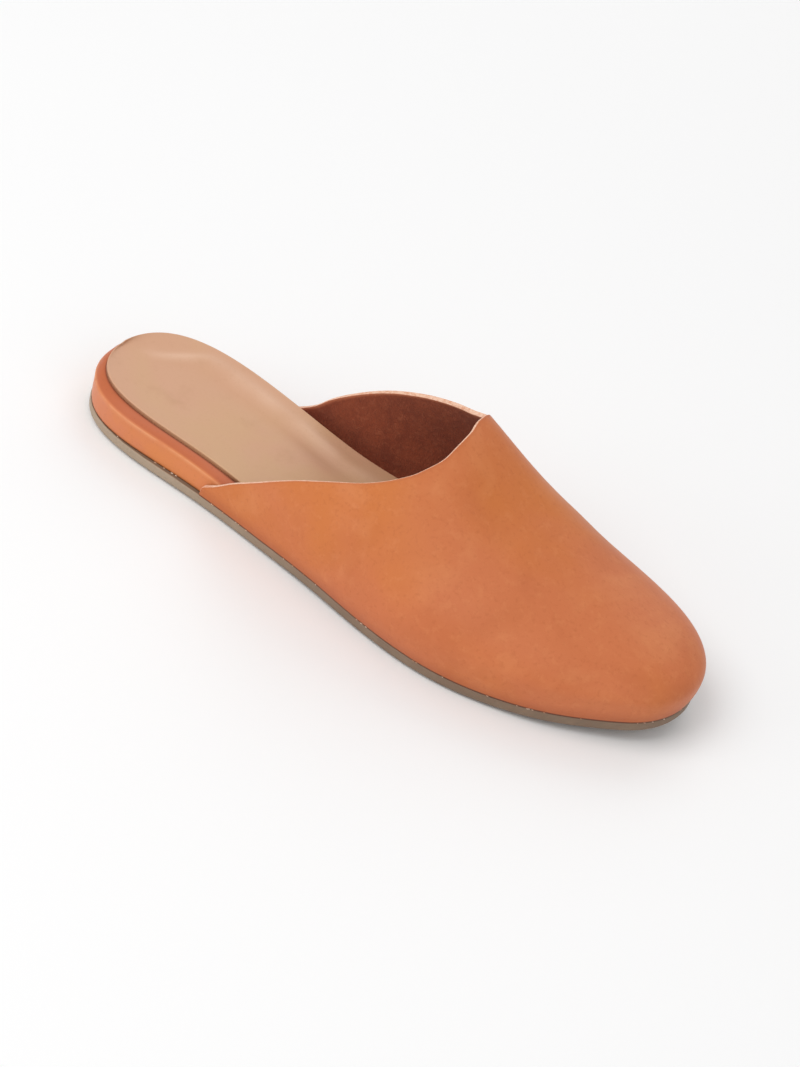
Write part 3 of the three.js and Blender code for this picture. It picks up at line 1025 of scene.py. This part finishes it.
@dataclass
class SolePiece:
    """A closed layer of the sole: level rings from its bottom edge to its top edge, with both faces."""

    last: Last
    stations: int = 110
    strips: int = 30

    def ring(self, inset: PlanRule, height: HeightRule) -> tuple[Array, Array]:
        """One level of the layer.

        Args:
            inset: how far inside the sole's outline, as a rule of x.
            height: height as a rule of x and of the side's sign.

        Returns:
            The lateral and the medial half, each from the heel to the toe.
        """
        station = np.linspace(0, np.pi, self.stations + 1)
        halves = []
        for side in Side:
            x, y = self.last.outline(station, side, inset(self.last.station_x(station)))
            halves.append(np.stack([x, y, height(x, np.full_like(x, side.value))], -1))
        lateral, medial = halves
        medial[[0, -1]] = lateral[[0, -1]]
        return lateral, medial

    def rounded_top(self, inset: PlanRule, top: HeightRule, radius: float, steps: int) -> list[tuple]:
        """Rings of a rounded upper edge.

        Args:
            inset: how far inside the outline its side stands, as a rule of x.
            top: height of the upper face.
            radius: radius of the rounding.
            steps: number of rings.

        Returns:
            The rings, from the side wall to the upper face.
        """
        rings = []
        for angle in np.linspace(0, np.pi / 2, steps):
            inward = radius * (1 - math.cos(angle))
            drop = radius * (1 - math.sin(angle))
            rings.append(self.ring(lambda x: inset(x) + inward, lambda x, s: top(x, s) - drop))
        return rings

    def walls(self, draft: MeshDraft, rings: Sequence[tuple[Array, Array]],
              traits: Mapping[str, Sequence[float]]) -> None:
        """Adds the side walls through the rings.

        Args:
            draft: draft that takes the sheets.
            rings: levels from the bottom up.
            traits: one number for each ring.
        """
        columns = self.stations + 1
        spread = {key: np.repeat(np.array(row, float)[:, None], columns, 1) for key, row in traits.items()}
        for half in (0, 1):
            draft.sheet(np.stack([ring[half] for ring in rings]), 0, spread)

    def face(self, draft: MeshDraft, ring: tuple[Array, Array], height: HeightRule,
             traits: Callable[[Array, Array], Mapping[str, Array]] | None = None) -> None:
        """Closes a ring with a face.

        Args:
            draft: draft that takes the sheet.
            ring: the two halves of the edge.
            height: height as a rule of x and of the place across, -1 to 1.
            traits: numbers of the face, as a rule of x and of the place across.
        """
        share = (1 - np.cos(np.linspace(0, np.pi, self.strips + 1))) / 2
        grid = ring[0][:, None] * (1 - share)[None, :, None] + ring[1][:, None] * share[None, :, None]
        across = np.broadcast_to(2 * share - 1, grid.shape[:2])
        inner = grid.copy()
        inner[..., 2] = height(grid[..., 0], across)
        inner[:, [0, -1]] = grid[:, [0, -1]]
        inner[[0, -1]] = grid[[0, -1]]
        draft.sheet(inner, 0, traits(grid[..., 0], across) if traits else None)


@dataclass
class Outsole(SolePiece):
    """Thin moulded rubber sole with a rounded lower edge and a slightly sunk tread field."""

    edge_radius: float = 2.0
    edge_rings: int = 8
    top_round: float = 0.4
    top_rings: int = 5
    border: float = 4.5
    border_slope: tuple[float, ...] = (1.2, 0.9, 0.3, 0.0)
    field_inset: float = 10.5
    field_ends: int = 4
    field_strips: int = 24

    def build(self, finish: bpy.types.Material) -> bpy.types.Object:
        """Builds the outsole.

        Args:
            finish: its material.

        Returns:
            The finished piece.
        """
        last = self.last
        draft = MeshDraft(last, ("wall",))
        rings, wall = [], []
        for further in self.border_slope:
            inset = self.border + further
            sunk = last.tread_depth * smooth_step(self.border, self.border + self.border_slope[0], inset)
            rings.append(self.ring(lambda x: inset + 0 * x, lambda x, s: last.ground(x) + sunk))
            wall.append(0.0)
        for angle in np.linspace(0, np.pi / 2, self.edge_rings):
            inward = self.edge_radius * (1 - math.sin(angle))
            rise = self.edge_radius * (1 - math.cos(angle))
            rings.append(self.ring(lambda x: inward + 0 * x, lambda x, s: last.ground(x) + rise))
            wall.append(math.sin(angle))
        rings += self.rounded_top(lambda x: 0 * x, lambda x, s: last.sole_top(x),
                                  self.top_round, self.top_rings)
        wall += [1.0] * self.top_rings
        self.walls(draft, rings, {"wall": wall})
        self.face(draft, rings[0], lambda x, across: last.tread_height(x))
        self.face(draft, rings[-1], lambda x, across: last.sole_top(x))
        return settle(draft.mesh_object("outsole_rubber", [finish]), "outsole_rubber", "outsole")

    def tread_field(self) -> bpy.types.Object:
        """Builds the open sheet that the tread's leaves are scattered over, well inside the border.

        Returns:
            The sheet, which only carries the leaves.
        """
        draft = MeshDraft(self.last)
        edge = self.ring(lambda x: self.field_inset + 0 * x, lambda x, s: self.last.tread_height(x))
        lateral, medial = (half[self.field_ends : -self.field_ends, None] for half in edge)
        share = np.linspace(0, 1, self.field_strips + 1)[None, :, None]
        grid = lateral * (1 - share) + medial * share
        draft.sheet(grid[:, ::-1])
        return draft.mesh_object("tread_field", [])


@dataclass
class Footbed(SolePiece):
    """Filler of the footbed wrapped in tan leather, with a rolled upper edge."""

    foot_tuck: float = 0.35
    tuck_power: int = 8
    foot_flare: float = 0.45
    pinch: float = 0.1
    pinch_reach: float = 0.09
    wall_rings: int = 9
    roll_height: float = 3.4
    roll_share: float = 0.6
    roll_rings: int = 12
    flatness: float = 0.55
    roll_start: float = -0.3
    wall_mark: float = 8.0
    under_insole: float = 0.15
    insole_gap: float = 0.3

    def bottom(self, x: Array, across: Array) -> Array:
        """Lower face."""
        return self.last.foot_height(x)

    def shoulder(self, x: Array, across: Array) -> Array:
        """Height where the side wall ends and the roll begins.

        Args:
            x: distance from the heel.
            across: the side's sign.

        Returns:
            The height.
        """
        top = self.top(x, across)
        return top - np.minimum(self.roll_height, self.roll_share * (top - self.bottom(x, across)))

    def top(self, x: Array, across: Array) -> Array:
        """Upper face of the wrapped filler, under the insole."""
        return self.last.bed_top(x, across) - self.last.insole_thickness - self.insole_gap

    def build(self, finish: bpy.types.Material) -> bpy.types.Object:
        """Builds the footbed.

        Args:
            finish: its material.

        Returns:
            The finished piece.
        """
        draft = MeshDraft(self.last, ("roll", "foot"))
        rim, bed = self.last.bed["rim"], self.last.bed["inset"]
        rings, roll, foot = [], [], []
        for share in np.linspace(0, 1, self.wall_rings):
            pinch = self.pinch * hump(share, 1.0, self.pinch_reach)
            tuck = self.foot_tuck * (1 - share) ** self.tuck_power - pinch
            flare = 1 - self.foot_flare * (1 - share)
            rings.append(self.ring(lambda x: rim(x) * flare + tuck,
                                   lambda x, s: mix(self.bottom(x, s), self.shoulder(x, s), share)))
            roll.append(self.roll_start * (1 - share))
            foot.append(self.wall_mark * share)
        for share in np.linspace(0, 1, self.roll_rings)[1:]:
            angle = math.pi / 2 * share
            out = mix(math.cos(angle), 1 - share, self.flatness)
            up = mix(math.sin(angle), share, self.flatness)
            rings.append(self.ring(lambda x: mix(bed(x) + self.under_insole, rim(x), out),
                                   lambda x, s: mix(self.shoulder(x, s), self.top(x, s), up)))
            roll.append(share)
            foot.append(self.wall_mark)
        self.walls(draft, rings, {"roll": roll, "foot": foot})
        level = {"roll": np.ones((1, 1)), "foot": np.full((1, 1), self.wall_mark)}
        self.face(draft, rings[0], self.bottom)
        self.face(draft, rings[-1], self.top, lambda x, across: level)
        made = settle(draft.mesh_object("footbed_rim", [finish]), "midsole_leather", "midsole")
        return made


@dataclass
class Insole(SolePiece):
    """Sock of beige leather, dished for the heel, with a soft ridge along its medial flank."""

    edge_radius: float = 0.55
    edge_rings: int = 6
    settle_gap: float = 0.25
    ridge_height: float = 0.75
    ridge_across: float = 0.72
    ridge_bend: float = 0.5
    ridge_bend_rise: tuple[float, float] = (12, 32)
    ridge_reach: float = 0.12
    ridge_rise: tuple[float, float] = (8, 22)
    ridge_fall: tuple[float, float] = (96, 124)
    gutter_depth: float = 0.5
    gutter_across: float = 0.42
    gutter_reach: float = 0.16
    gutter_rise: tuple[float, float] = (25, 50)
    gutter_fall: tuple[float, float] = (90, 125)
    dip_depth: float = 0.7
    dip_place: tuple[float, float] = (90, 0.5)
    dip_reach: tuple[float, float] = (15, 0.1)
    edge_fade: float = 0.08

    def ridge(self, x: Array, across: Array) -> Array:
        """Share of the soft ridge that runs along the medial flank, from the heel to the waist.

        Args:
            x: distance from the heel.
            across: place across, -1 to 1.

        Returns:
            The share, 0 to 1.
        """
        middle = self.ridge_across - self.ridge_bend * (1 - smooth_step(*self.ridge_bend_rise, x))
        return hump(across, middle, self.ridge_reach) * plateau(x, self.ridge_rise, self.ridge_fall)

    def dip(self, x: Array, across: Array) -> Array:
        """Share of the short groove beside the ridge, at the waist.

        Args:
            x: distance from the heel.
            across: place across, -1 to 1.

        Returns:
            The share, 0 to 1.
        """
        along = hump(x, self.dip_place[0], self.dip_reach[0])
        return along * hump(across, self.dip_place[1], self.dip_reach[1])

    def top(self, x: Array, across: Array) -> Array:
        """Upper face: the bed with its ridge and gutter along the flank and the dip at the waist.

        Args:
            x: distance from the heel.
            across: place across, -1 to 1.

        Returns:
            The height.
        """
        gutter = hump(across, self.gutter_across, self.gutter_reach)
        gutter = gutter * plateau(x, self.gutter_rise, self.gutter_fall)
        relief = self.ridge_height * self.ridge(x, across) - self.gutter_depth * gutter
        relief = relief - self.dip_depth * self.dip(x, across)
        return self.last.bed_top(x, across) + relief * smooth_step(0.0, self.edge_fade, 1 - np.abs(across))

    def bottom(self, x: Array, across: Array) -> Array:
        """Lower face, settled into the top of the footbed's wrapping."""
        return self.last.bed_top(x, across) - self.last.insole_thickness - self.settle_gap

    def traits(self, x: Array, across: Array) -> dict[str, Array]:
        """Numbers that the finish reads from the upper face."""
        return {"rim": np.ones(x.shape), "ridge": self.ridge(x, across), "dip": self.dip(x, across)}

    def build(self, finish: bpy.types.Material) -> bpy.types.Object:
        """Builds the insole.

        Args:
            finish: its material.

        Returns:
            The finished piece.
        """
        draft = MeshDraft(self.last, ("rim", "ridge", "dip"))
        bed = self.last.bed["inset"]
        rings = [self.ring(bed, self.bottom)]
        rings += self.rounded_top(bed, self.last.bed_top, self.edge_radius, self.edge_rings)
        rim = [0.0, *np.sin(np.linspace(0, np.pi / 2, self.edge_rings))]
        self.walls(draft, rings, {"rim": rim})
        self.face(draft, rings[0], self.bottom)
        self.face(draft, rings[-1], self.top, self.traits)
        return settle(draft.mesh_object("insole_sock", [finish]), "insole_leather", "insole")


# ---- Upper ----


@dataclass(frozen=True)
class SoftMark:
    """A soft trough (negative) or ridge (positive) worked into the leather by hand."""

    side: Side
    x: float
    turn: float
    reach_x: float
    reach_turn: float
    height: float

    def lift(self, x: Array, turn: Array, side: Side) -> Array:
        """How far the mark moves the leather outwards.

        Args:
            x: distance from the heel.
            turn: place on the section.
            side: which side of the shoe is built.

        Returns:
            The distance at each point.
        """
        if side is not self.side:
            return np.zeros(np.broadcast(x, turn).shape)
        return self.height * hump(x, self.x, self.reach_x) * hump(turn, self.turn, self.reach_turn)


@dataclass
class Upper:
    """One skin of leather from the outsole up to the topline, with its raw cut edge."""

    last: Last
    leather: float = 1.8
    vamp_columns: int = 70
    toe_columns: int = 56
    tuck_rows: int = 20
    wall_rows: int = 60
    edge_bulge: float = 0.22
    edge_steps: int = 6
    bulge_rows: float = 3.0
    marks_end: float = 0.9
    edge_foot: float = 9.0
    marks: tuple[SoftMark, ...] = (
        SoftMark(Side.LATERAL, 168, 0.78, 10, 0.12, -0.35),
        SoftMark(Side.LATERAL, 190, 0.62, 13, 0.14, 0.3),
        SoftMark(Side.LATERAL, 128, 0.25, 22, 0.12, -0.45),
        SoftMark(Side.LATERAL, 214, 0.32, 16, 0.10, 0.25),
        SoftMark(Side.MEDIAL, 122, 0.3, 20, 0.12, -0.5),
        SoftMark(Side.MEDIAL, 186, 0.55, 14, 0.13, 0.3),
    )

    def half(self, side: Side) -> dict[str, Array]:
        """Grids of one side, from its topline to the tip of the toe.

        Args:
            side: which side of the shoe.

        Returns:
            The outer and inner points, and each point's distance from the topline and the outsole.
        """
        last = self.last
        turns = np.concatenate([np.linspace(-last.tuck_turn, 0, self.tuck_rows, endpoint=False),
                                np.linspace(0, 1, self.wall_rows + 1)])
        start, apex = last.station_at(last.topline[side](turns)), float(last.station_at(last.apex))
        vamp = np.linspace(0, 1, self.vamp_columns, endpoint=False)
        toe = np.linspace(apex, np.pi, self.toe_columns + 1)
        station = np.concatenate([mix(start[:, None], apex, vamp[None]),
                                  np.broadcast_to(toe, (len(turns), len(toe)))], 1)
        turn = np.broadcast_to(turns[:, None], station.shape)
        outer = last.upper_point(station, side, turn)
        inward = last.into_leather(station, side, turn)
        lift = sum(mark.lift(last.station_x(station), turn, side) for mark in self.marks)
        lift = lift * smooth_step(1.0, self.marks_end, turn)
        outer = outer - inward * lift[..., None]
        inner = outer + inward * self.leather
        inner[0, :, 2] = outer[0, :, 2]
        steps = np.linalg.norm(np.diff(outer, axis=1), axis=-1)
        edge = np.concatenate([np.zeros((len(turns), 1)), np.cumsum(steps, 1)], 1)
        return {"outer": outer, "inner": inner, "edge": edge, "foot": outer[..., 2] - outer[:1, :, 2]}

    def build(self, skin: bpy.types.Material, flesh: bpy.types.Material,
              cut: bpy.types.Material) -> bpy.types.Object:
        """Builds the upper.

        Args:
            skin: finish of the outer face.
            flesh: finish of the inner face.
            cut: finish of the raw edge.

        Returns:
            The finished piece.
        """
        draft = MeshDraft(self.last, ("edge", "foot"))
        for side in Side:
            grids = self.half(side)
            outer, inner = grids["outer"], grids["inner"]
            traits = {"edge": grids["edge"], "foot": grids["foot"]}
            draft.sheet(outer, 0, traits)
            draft.sheet(inner, 1, traits)
            draft.sheet(self.strip(outer[0], inner[0], 0.0), 0)
            draft.sheet(self.cut_edge(outer, inner), 2, {"foot": np.full((1, 1), self.edge_foot)})
        return settle(draft.mesh_object("upper_skin", [skin, flesh, cut]), "upper_leather", "upper")

    def cut_edge(self, outer: Array, inner: Array) -> Array:
        """Slightly crowned strip that closes the topline and is flat at the outsole.

        Args:
            outer: points of the outer face.
            inner: points of the inner face.

        Returns:
            Rows of points.
        """
        away = outer[:, 0] - outer[:, 2]
        away /= np.linalg.norm(away, axis=1, keepdims=True)
        rise = smooth_step(0.0, self.bulge_rows, np.arange(len(away)))[:, None]
        return self.strip(outer[:, 0], inner[:, 0], away * self.edge_bulge * rise)

    def strip(self, outer: Array, inner: Array, bulge: Array) -> Array:
        """Strip across the thickness of the leather.

        Args:
            outer: edge of the outer face.
            inner: edge of the inner face.
            bulge: how far the middle of the strip stands out, in x, y and z.

        Returns:
            Rows of points from the outer edge to the inner one.
        """
        angles = np.linspace(0, math.pi, self.edge_steps + 1)
        return np.stack([mix(outer, inner, (1 - math.cos(a)) / 2) + bulge * math.sin(a) for a in angles])


# ---- Repeated details from node trees ----


class Scatter:
    """A Geometry Nodes tree that is run once on a piece and then taken off."""

    def __init__(self, name: str, sockets: Mapping[str, str]) -> None:
        """Starts a tree with a geometry input and named inputs.

        Args:
            name: name of the tree.
            sockets: kind of each named input.
        """
        self.group = bpy.data.node_groups.new(name, "GeometryNodeTree")
        self.identifiers: dict[str, str] = {}
        self._socket("Geometry", "INPUT", "Geometry")
        self._socket("Geometry", "OUTPUT", "Geometry")
        for label, kind in sockets.items():
            self.identifiers[label] = self._socket(label, "INPUT", kind)
        self.nodes = NodeTree(self.group)
        self.given = self.nodes.node("NodeGroupInput").outputs

    def _socket(self, label: str, way: str, kind: str) -> str:
        """Adds a socket to the tree's interface and returns its identifier."""
        made = self.group.interface.new_socket(label, in_out=way, socket_type=f"NodeSocket{kind}")
        return made.identifier

    def size(self, label: str) -> Value:
        """Named input as a number that can be reckoned with."""
        return Value(self.nodes, self.given[label])

    def finish(self, instances: bpy.types.NodeSocket) -> None:
        """Ends the tree with real geometry that carries its finish.

        Args:
            instances: the scattered shapes.
        """
        real = self.nodes.node("GeometryNodeRealizeInstances", None, {0: instances})
        inputs = {"Geometry": real.outputs[0], "Material": self.given["Finish"]}
        made = self.nodes.node("GeometryNodeSetMaterial", None, inputs)
        self.nodes.node("NodeGroupOutput", None, {0: made.outputs[0]})

    def run(self, carrier: bpy.types.Object, name: str, values: Mapping[str, Any]) -> bpy.types.Object:
        """Runs the tree on a carrier, which is then removed.

        Args:
            carrier: object that the tree reads.
            name: name of the new piece.
            values: value of each named input.

        Returns:
            The new piece, as a plain mesh.
        """
        modifier = carrier.modifiers.new(self.group.name, "NODES")
        modifier.node_group = self.group
        for label, value in values.items():
            modifier[self.identifiers[label]] = value
        graph = bpy.context.evaluated_depsgraph_get()
        mesh = bpy.data.meshes.new_from_object(carrier.evaluated_get(graph))
        carrier.modifiers.clear()
        bpy.data.objects.remove(carrier)
        LOG.info("%s: %d faces", name, len(mesh.polygons))
        return add_object(name, mesh)


@dataclass
class TreadLeaves:
    """Plain moulded leaf outlines scattered over the sunk field of the sole."""

    spacing: float = 16.0
    density: float = 20000.0
    length: float = 11.5
    width: float = 6.6
    line: float = 0.8
    seed: int = 7
    seal_clear: float = 14.0
    outline_steps: int = 30
    line_sides: int = 6
    taper: float = 0.8
    fullness: float = 0.9
    veins: tuple = (((-0.34, 0.0), (0.42, 0.0)), ((-0.22, 0.0), (0.06, 0.26)), ((-0.22, 0.0), (0.06, -0.26)))

    def build(self, last: Last, ground: bpy.types.Object, finish: bpy.types.Material) -> bpy.types.Object:
        """Scatters the leaves.

        Args:
            last: the last, which places the seal.
            ground: sheet that they are scattered over.
            finish: their material.

        Returns:
            The finished piece.
        """
        scatter = Scatter("tread_leaves", {
            "Spacing": "Float", "Length": "Float", "Width": "Float", "Line": "Float", "Seed": "Int",
            "Seal": "Vector", "Seal Clearance": "Float", "Finish": "Material"})
        tree, given = scatter.nodes, scatter.given
        distance = tree.node("ShaderNodeVectorMath", {"operation": "DISTANCE"},
                             {0: tree.node("GeometryNodeInputPosition").outputs[0], 1: given["Seal"]})
        clear = tree.node("FunctionNodeCompare", {"data_type": "FLOAT", "operation": "GREATER_THAN"},
                          {0: distance.outputs["Value"], 1: given["Seal Clearance"]})
        points = tree.node("GeometryNodeDistributePointsOnFaces", {"distribute_method": "POISSON"},
                           {"Mesh": given["Geometry"], "Selection": clear.outputs[0],
                            "Distance Min": given["Spacing"], "Density Max": self.density,
                            "Seed": given["Seed"]})
        angle = tree.node("FunctionNodeRandomValue", {"data_type": "FLOAT"},
                          {"Min_001": 0.0, "Max_001": 2 * math.pi, "Seed": given["Seed"]})
        spin = tree.node("FunctionNodeAxisAngleToRotation", None,
                         {"Axis": (0, 0, 1), "Angle": angle.outputs[1]})
        turned = tree.node("FunctionNodeRotateRotation", {"rotation_space": "LOCAL"},
                           {0: points.outputs["Rotation"], 1: spin.outputs[0]})
        placed = tree.node("GeometryNodeInstanceOnPoints", None,
                           {"Points": points.outputs["Points"], "Instance": self.leaf(scatter),
                            "Rotation": turned.outputs[0]})
        scatter.finish(placed.outputs[0])
        centre = (np.array([*last.seal_centre, 0.0]) + last.shift) * MM
        made = scatter.run(ground, "tread_leaves", {
            "Spacing": self.spacing * MM, "Length": self.length * MM, "Width": self.width * MM,
            "Line": self.line * MM, "Seed": self.seed, "Seal": tuple(centre),
            "Seal Clearance": self.seal_clear * MM, "Finish": finish})
        return settle(made, "outsole_rubber")

    def leaf(self, scatter: Scatter) -> bpy.types.NodeSocket:
        """Adds the outline of a leaf with a midrib and two veins, as thin moulded lines.

        Args:
            scatter: the tree that the leaf is drawn in.

        Returns:
            The leaf's mesh.
        """
        tree, length, width = scatter.nodes, scatter.size("Length"), scatter.size("Width")
        circle = tree.node("GeometryNodeCurvePrimitiveCircle", None,
                           {"Resolution": self.outline_steps, "Radius": 1.0})
        point = tree.node("GeometryNodeInputPosition").outputs[0]
        split = tree.node("ShaderNodeSeparateXYZ", None, {0: point})
        x, y = Value(tree, split.outputs[0]), Value(tree, split.outputs[1])
        pointed = ((1 - x) * 0.5) ** self.taper
        place = tree.node("ShaderNodeCombineXYZ", None,
                          {0: x * 0.5 * length, 1: y * pointed * self.fullness * width})
        outline = tree.node("GeometryNodeSetPosition", None,
                            {"Geometry": circle.outputs[0], "Position": place.outputs[0]})
        parts = [outline.outputs[0]]
        for vein in self.veins:
            ends = [tree.node("ShaderNodeCombineXYZ", None, {0: length * along, 1: width * across}).outputs[0]
                    for along, across in vein]
            line = tree.node("GeometryNodeCurvePrimitiveLine", None, {"Start": ends[0], "End": ends[1]})
            parts.append(line.outputs[0])
        joined = tree.node("GeometryNodeJoinGeometry")
        for part in reversed(parts):
            tree.feed(joined.inputs[0], part)
        profile = tree.node("GeometryNodeCurvePrimitiveCircle", None,
                            {"Resolution": self.line_sides, "Radius": scatter.size("Line") * 0.5})
        return tree.node("GeometryNodeCurveToMesh", None, {
            "Curve": joined.outputs[0], "Profile Curve": profile.outputs[0], "Fill Caps": True}).outputs[0]


@dataclass
class SizeSeal:
    """Round plain seal moulded into the waist of the sole: a low ring round a plain disc."""

    radius: float = 6.3
    ring: float = 0.7
    proud: float = 0.3
    disc_proud: float = 0.06
    flank: float = 0.25
    round_in: float = 0.15
    round_down: float = 0.08
    root: float = 0.2
    segments: int = 64

    def build(self, last: Last, finish: bpy.types.Material) -> bpy.types.Object:
        """Builds the seal.

        Args:
            last: the last, which gives its place and the height of the tread field.
            finish: its material.

        Returns:
            The finished piece.
        """
        x, y = last.seal_centre
        field_height = float(last.tread_height(np.array(x)))
        low, disc, root = field_height - self.proud, field_height - self.disc_proud, field_height + self.root
        inner, outer = self.radius - self.ring, self.radius
        profile = [(0.0, disc), (inner - self.flank, disc), (inner, low + self.round_down),
                   (inner + self.round_in, low), (outer - self.round_in, low),
                   (outer, low + self.round_down), (outer + self.flank, root), (0.0, root)]
        angle = np.linspace(0, 2 * np.pi, self.segments + 1)
        grid = np.array([[(x + r * math.cos(a), y + r * math.sin(a), z) for a in angle] for r, z in profile])
        draft = MeshDraft(last, ("wall",))
        draft.sheet(grid)
        return settle(draft.mesh_object("size_seal", [finish]), "outsole_rubber")


@dataclass
class GlueCrumbs:
    """A few crumbs of dried glue along the line where the upper meets the outsole."""

    share: float = 0.035
    size: float = 0.36
    seed: int = 11
    lateral_start: float = 25.0
    medial_start: float = 45.0
    places: int = 420
    upper_inset: float = 0.12
    rim_inset: float = 0.3
    rim_share: float = 0.55
    heights: tuple[float, float] = (0.02, 0.1)
    smallest: tuple[float, float, float] = (0.5, 0.5, 0.3)
    largest: tuple[float, float, float] = (1.6, 1.0, 0.7)

    def feather_line(self, last: Last) -> bpy.types.Object:
        """Builds two narrow open strips along the line, under the upper and under the bare rim.

        Args:
            last: the last, which gives the line.

        Returns:
            The strips, which only carry the crumbs.
        """
        draft = MeshDraft(last)
        for side, start in ((Side.LATERAL, self.lateral_start), (Side.MEDIAL, self.medial_start)):
            station = np.linspace(float(last.station_at(start)), np.pi, self.places)
            place = last.station_x(station)
            bare = 1 - smooth_step(-2, 0, place - last.topline[side](-last.tuck_turn))
            under_rim = self.rim_share * last.bed["rim"](place) + self.rim_inset
            x, y = last.outline(station, side, mix(self.upper_inset, under_rim, bare))
            draft.sheet(np.stack([np.stack([x, y, last.sole_top(x) + lift], -1) for lift in self.heights]))
        return draft.mesh_object("feather_line", [])

    def build(self, last: Last, finish: bpy.types.Material) -> bpy.types.Object:
        """Scatters the crumbs along the feather line.

        Args:
            last: the last, which gives the line.
            finish: their material.

        Returns:
            The finished piece.
        """
        path = self.feather_line(last)
        sockets = {"Share": "Float", "Size": "Float", "Seed": "Int", "Finish": "Material"}
        scatter = Scatter("glue_crumbs", sockets)
        tree, given = scatter.nodes, scatter.given
        chosen = tree.node("FunctionNodeRandomValue", {"data_type": "BOOLEAN"},
                           {"Probability": given["Share"], "Seed": given["Seed"]})
        size = tree.node("FunctionNodeRandomValue", {"data_type": "FLOAT_VECTOR"},
                         {"Min": self.smallest, "Max": self.largest, "Seed": given["Seed"]})
        ball = tree.node("GeometryNodeMeshIcoSphere", None, {"Radius": given["Size"], "Subdivisions": 2})
        placed = tree.node("GeometryNodeInstanceOnPoints", None, {
            "Points": given["Geometry"], "Selection": chosen.outputs[3], "Instance": ball.outputs[0],
            "Scale": size.outputs[0]})
        scatter.finish(placed.outputs[0])
        values = {"Share": self.share, "Size": self.size * MM, "Seed": self.seed, "Finish": finish}
        return settle(scatter.run(path, "glue_crumbs", values), "upper_leather")


# ---- Studio ----


@dataclass(frozen=True)
class SoftLight:
    """A square soft light: where it hangs, the length of its side and its power."""

    name: str
    place: tuple[float, float, float]
    size: float
    watts: float

    def build(self, aim: Vector) -> None:
        """Makes the light.

        Args:
            aim: point that it faces.
        """
        data = bpy.data.lights.new(self.name, "AREA")
        data.shape, data.size, data.energy = "SQUARE", self.size, self.watts
        made = add_object(self.name, data)
        made.location = self.place
        made.rotation_mode = "QUATERNION"
        made.rotation_quaternion = (aim - Vector(self.place)).to_track_quat("-Z", "Y")


@dataclass
class Studio:
    """Camera, pale floor and soft lights."""

    camera_place: tuple[float, float, float] = (0.30135, -0.68766, 0.6086)
    camera_right: tuple[float, float, float] = (0.8124, 0.5393, 0.2215)
    camera_up: tuple[float, float, float] = (-0.4951, 0.4375, 0.7507)
    lens: float = 92.0
    sensor: float = 36.0
    clip: tuple[float, float] = (0.01, 20.0)
    floor_size: float = 16.0
    floor_drop: float = 0.0002
    floor_tone: float = 0.97
    floor_roughness: float = 0.9
    paper_scale: float = 400.0
    paper_mm: float = 0.01
    aim: tuple[float, float, float] = (0.02, 0.0, 0.03)
    backdrop: float = 0.55
    lights: tuple[SoftLight, ...] = (
        SoftLight("key", (-0.6, -0.8, 1.5), 1.2, 12.5),
        SoftLight("left", (-0.95, -1.1, 0.42), 0.8, 2.5),
        SoftLight("fill", (1.2, -0.5, 0.9), 1.2, 2.5),
        SoftLight("back", (-0.3, 1.3, 1.0), 1.2, 5.0),
    )

    def camera(self) -> None:
        """Makes the camera."""
        data = bpy.data.cameras.new("camera")
        data.lens, data.sensor_width, data.sensor_fit = self.lens, self.sensor, "AUTO"
        data.clip_start, data.clip_end = self.clip
        made = add_object("camera", data)
        right = Vector(self.camera_right).normalized()
        up = Vector(self.camera_up)
        up = (up - right * up.dot(right)).normalized()
        turn = Matrix((right, up, right.cross(up))).transposed().to_4x4()
        made.matrix_world = Matrix.Translation(self.camera_place) @ turn
        bpy.context.scene.camera = made

    def floor(self) -> None:
        """Makes the pale floor."""
        half = self.floor_size / 2
        mesh = bpy.data.meshes.new("floor")
        corners = [(x * half, y * half, -self.floor_drop) for x, y in ((-1, -1), (1, -1), (1, 1), (-1, 1))]
        mesh.from_pydata(corners, [], [(0, 1, 2, 3)])
        shade = Shade("floor_paper")
        relief = shade.bump(shade.noise(Mottle(self.paper_scale, 2, 0.5)), self.paper_mm)
        mesh.materials.append(shade.surface((self.floor_tone,) * 3, self.floor_roughness, relief))
        add_object("floor", mesh)

    def build(self) -> None:
        """Sets up the floor, the lights and the even background."""
        self.floor()
        for light in self.lights:
            light.build(Vector(self.aim))
        world = bpy.data.worlds.new("studio")
        world.use_nodes = True
        background = world.node_tree.nodes["Background"]
        background.inputs["Color"].default_value = (1, 1, 1, 1)
        background.inputs["Strength"].default_value = self.backdrop
        bpy.context.scene.world = world
        bpy.context.scene.view_settings.view_transform = "Standard"


# ---- The shoe ----


def main() -> None:
    """Builds the studio and every piece of the shoe."""
    logging.basicConfig(level=logging.INFO, format="%(name)s: %(message)s")
    studio = Studio()
    studio.camera()
    last = Last()
    LOG.info("last shifted by %s mm", np.round(last.shift, 3).tolist())
    rubber = SoleRubber().material()
    outsole = Outsole(last)
    outsole.build(rubber)
    TreadLeaves().build(last, outsole.tread_field(), rubber)
    SizeSeal().build(last, rubber)
    Footbed(last).build(RimLeather().material())
    Insole(last).build(BedLeather().material())
    Upper(last).build(TanLeather().material(), FleshSuede().material(), CutEdge().material())
    GlueCrumbs().build(last, DriedGlue().material())
    studio.build()


if __name__ == "__main__":
    main()
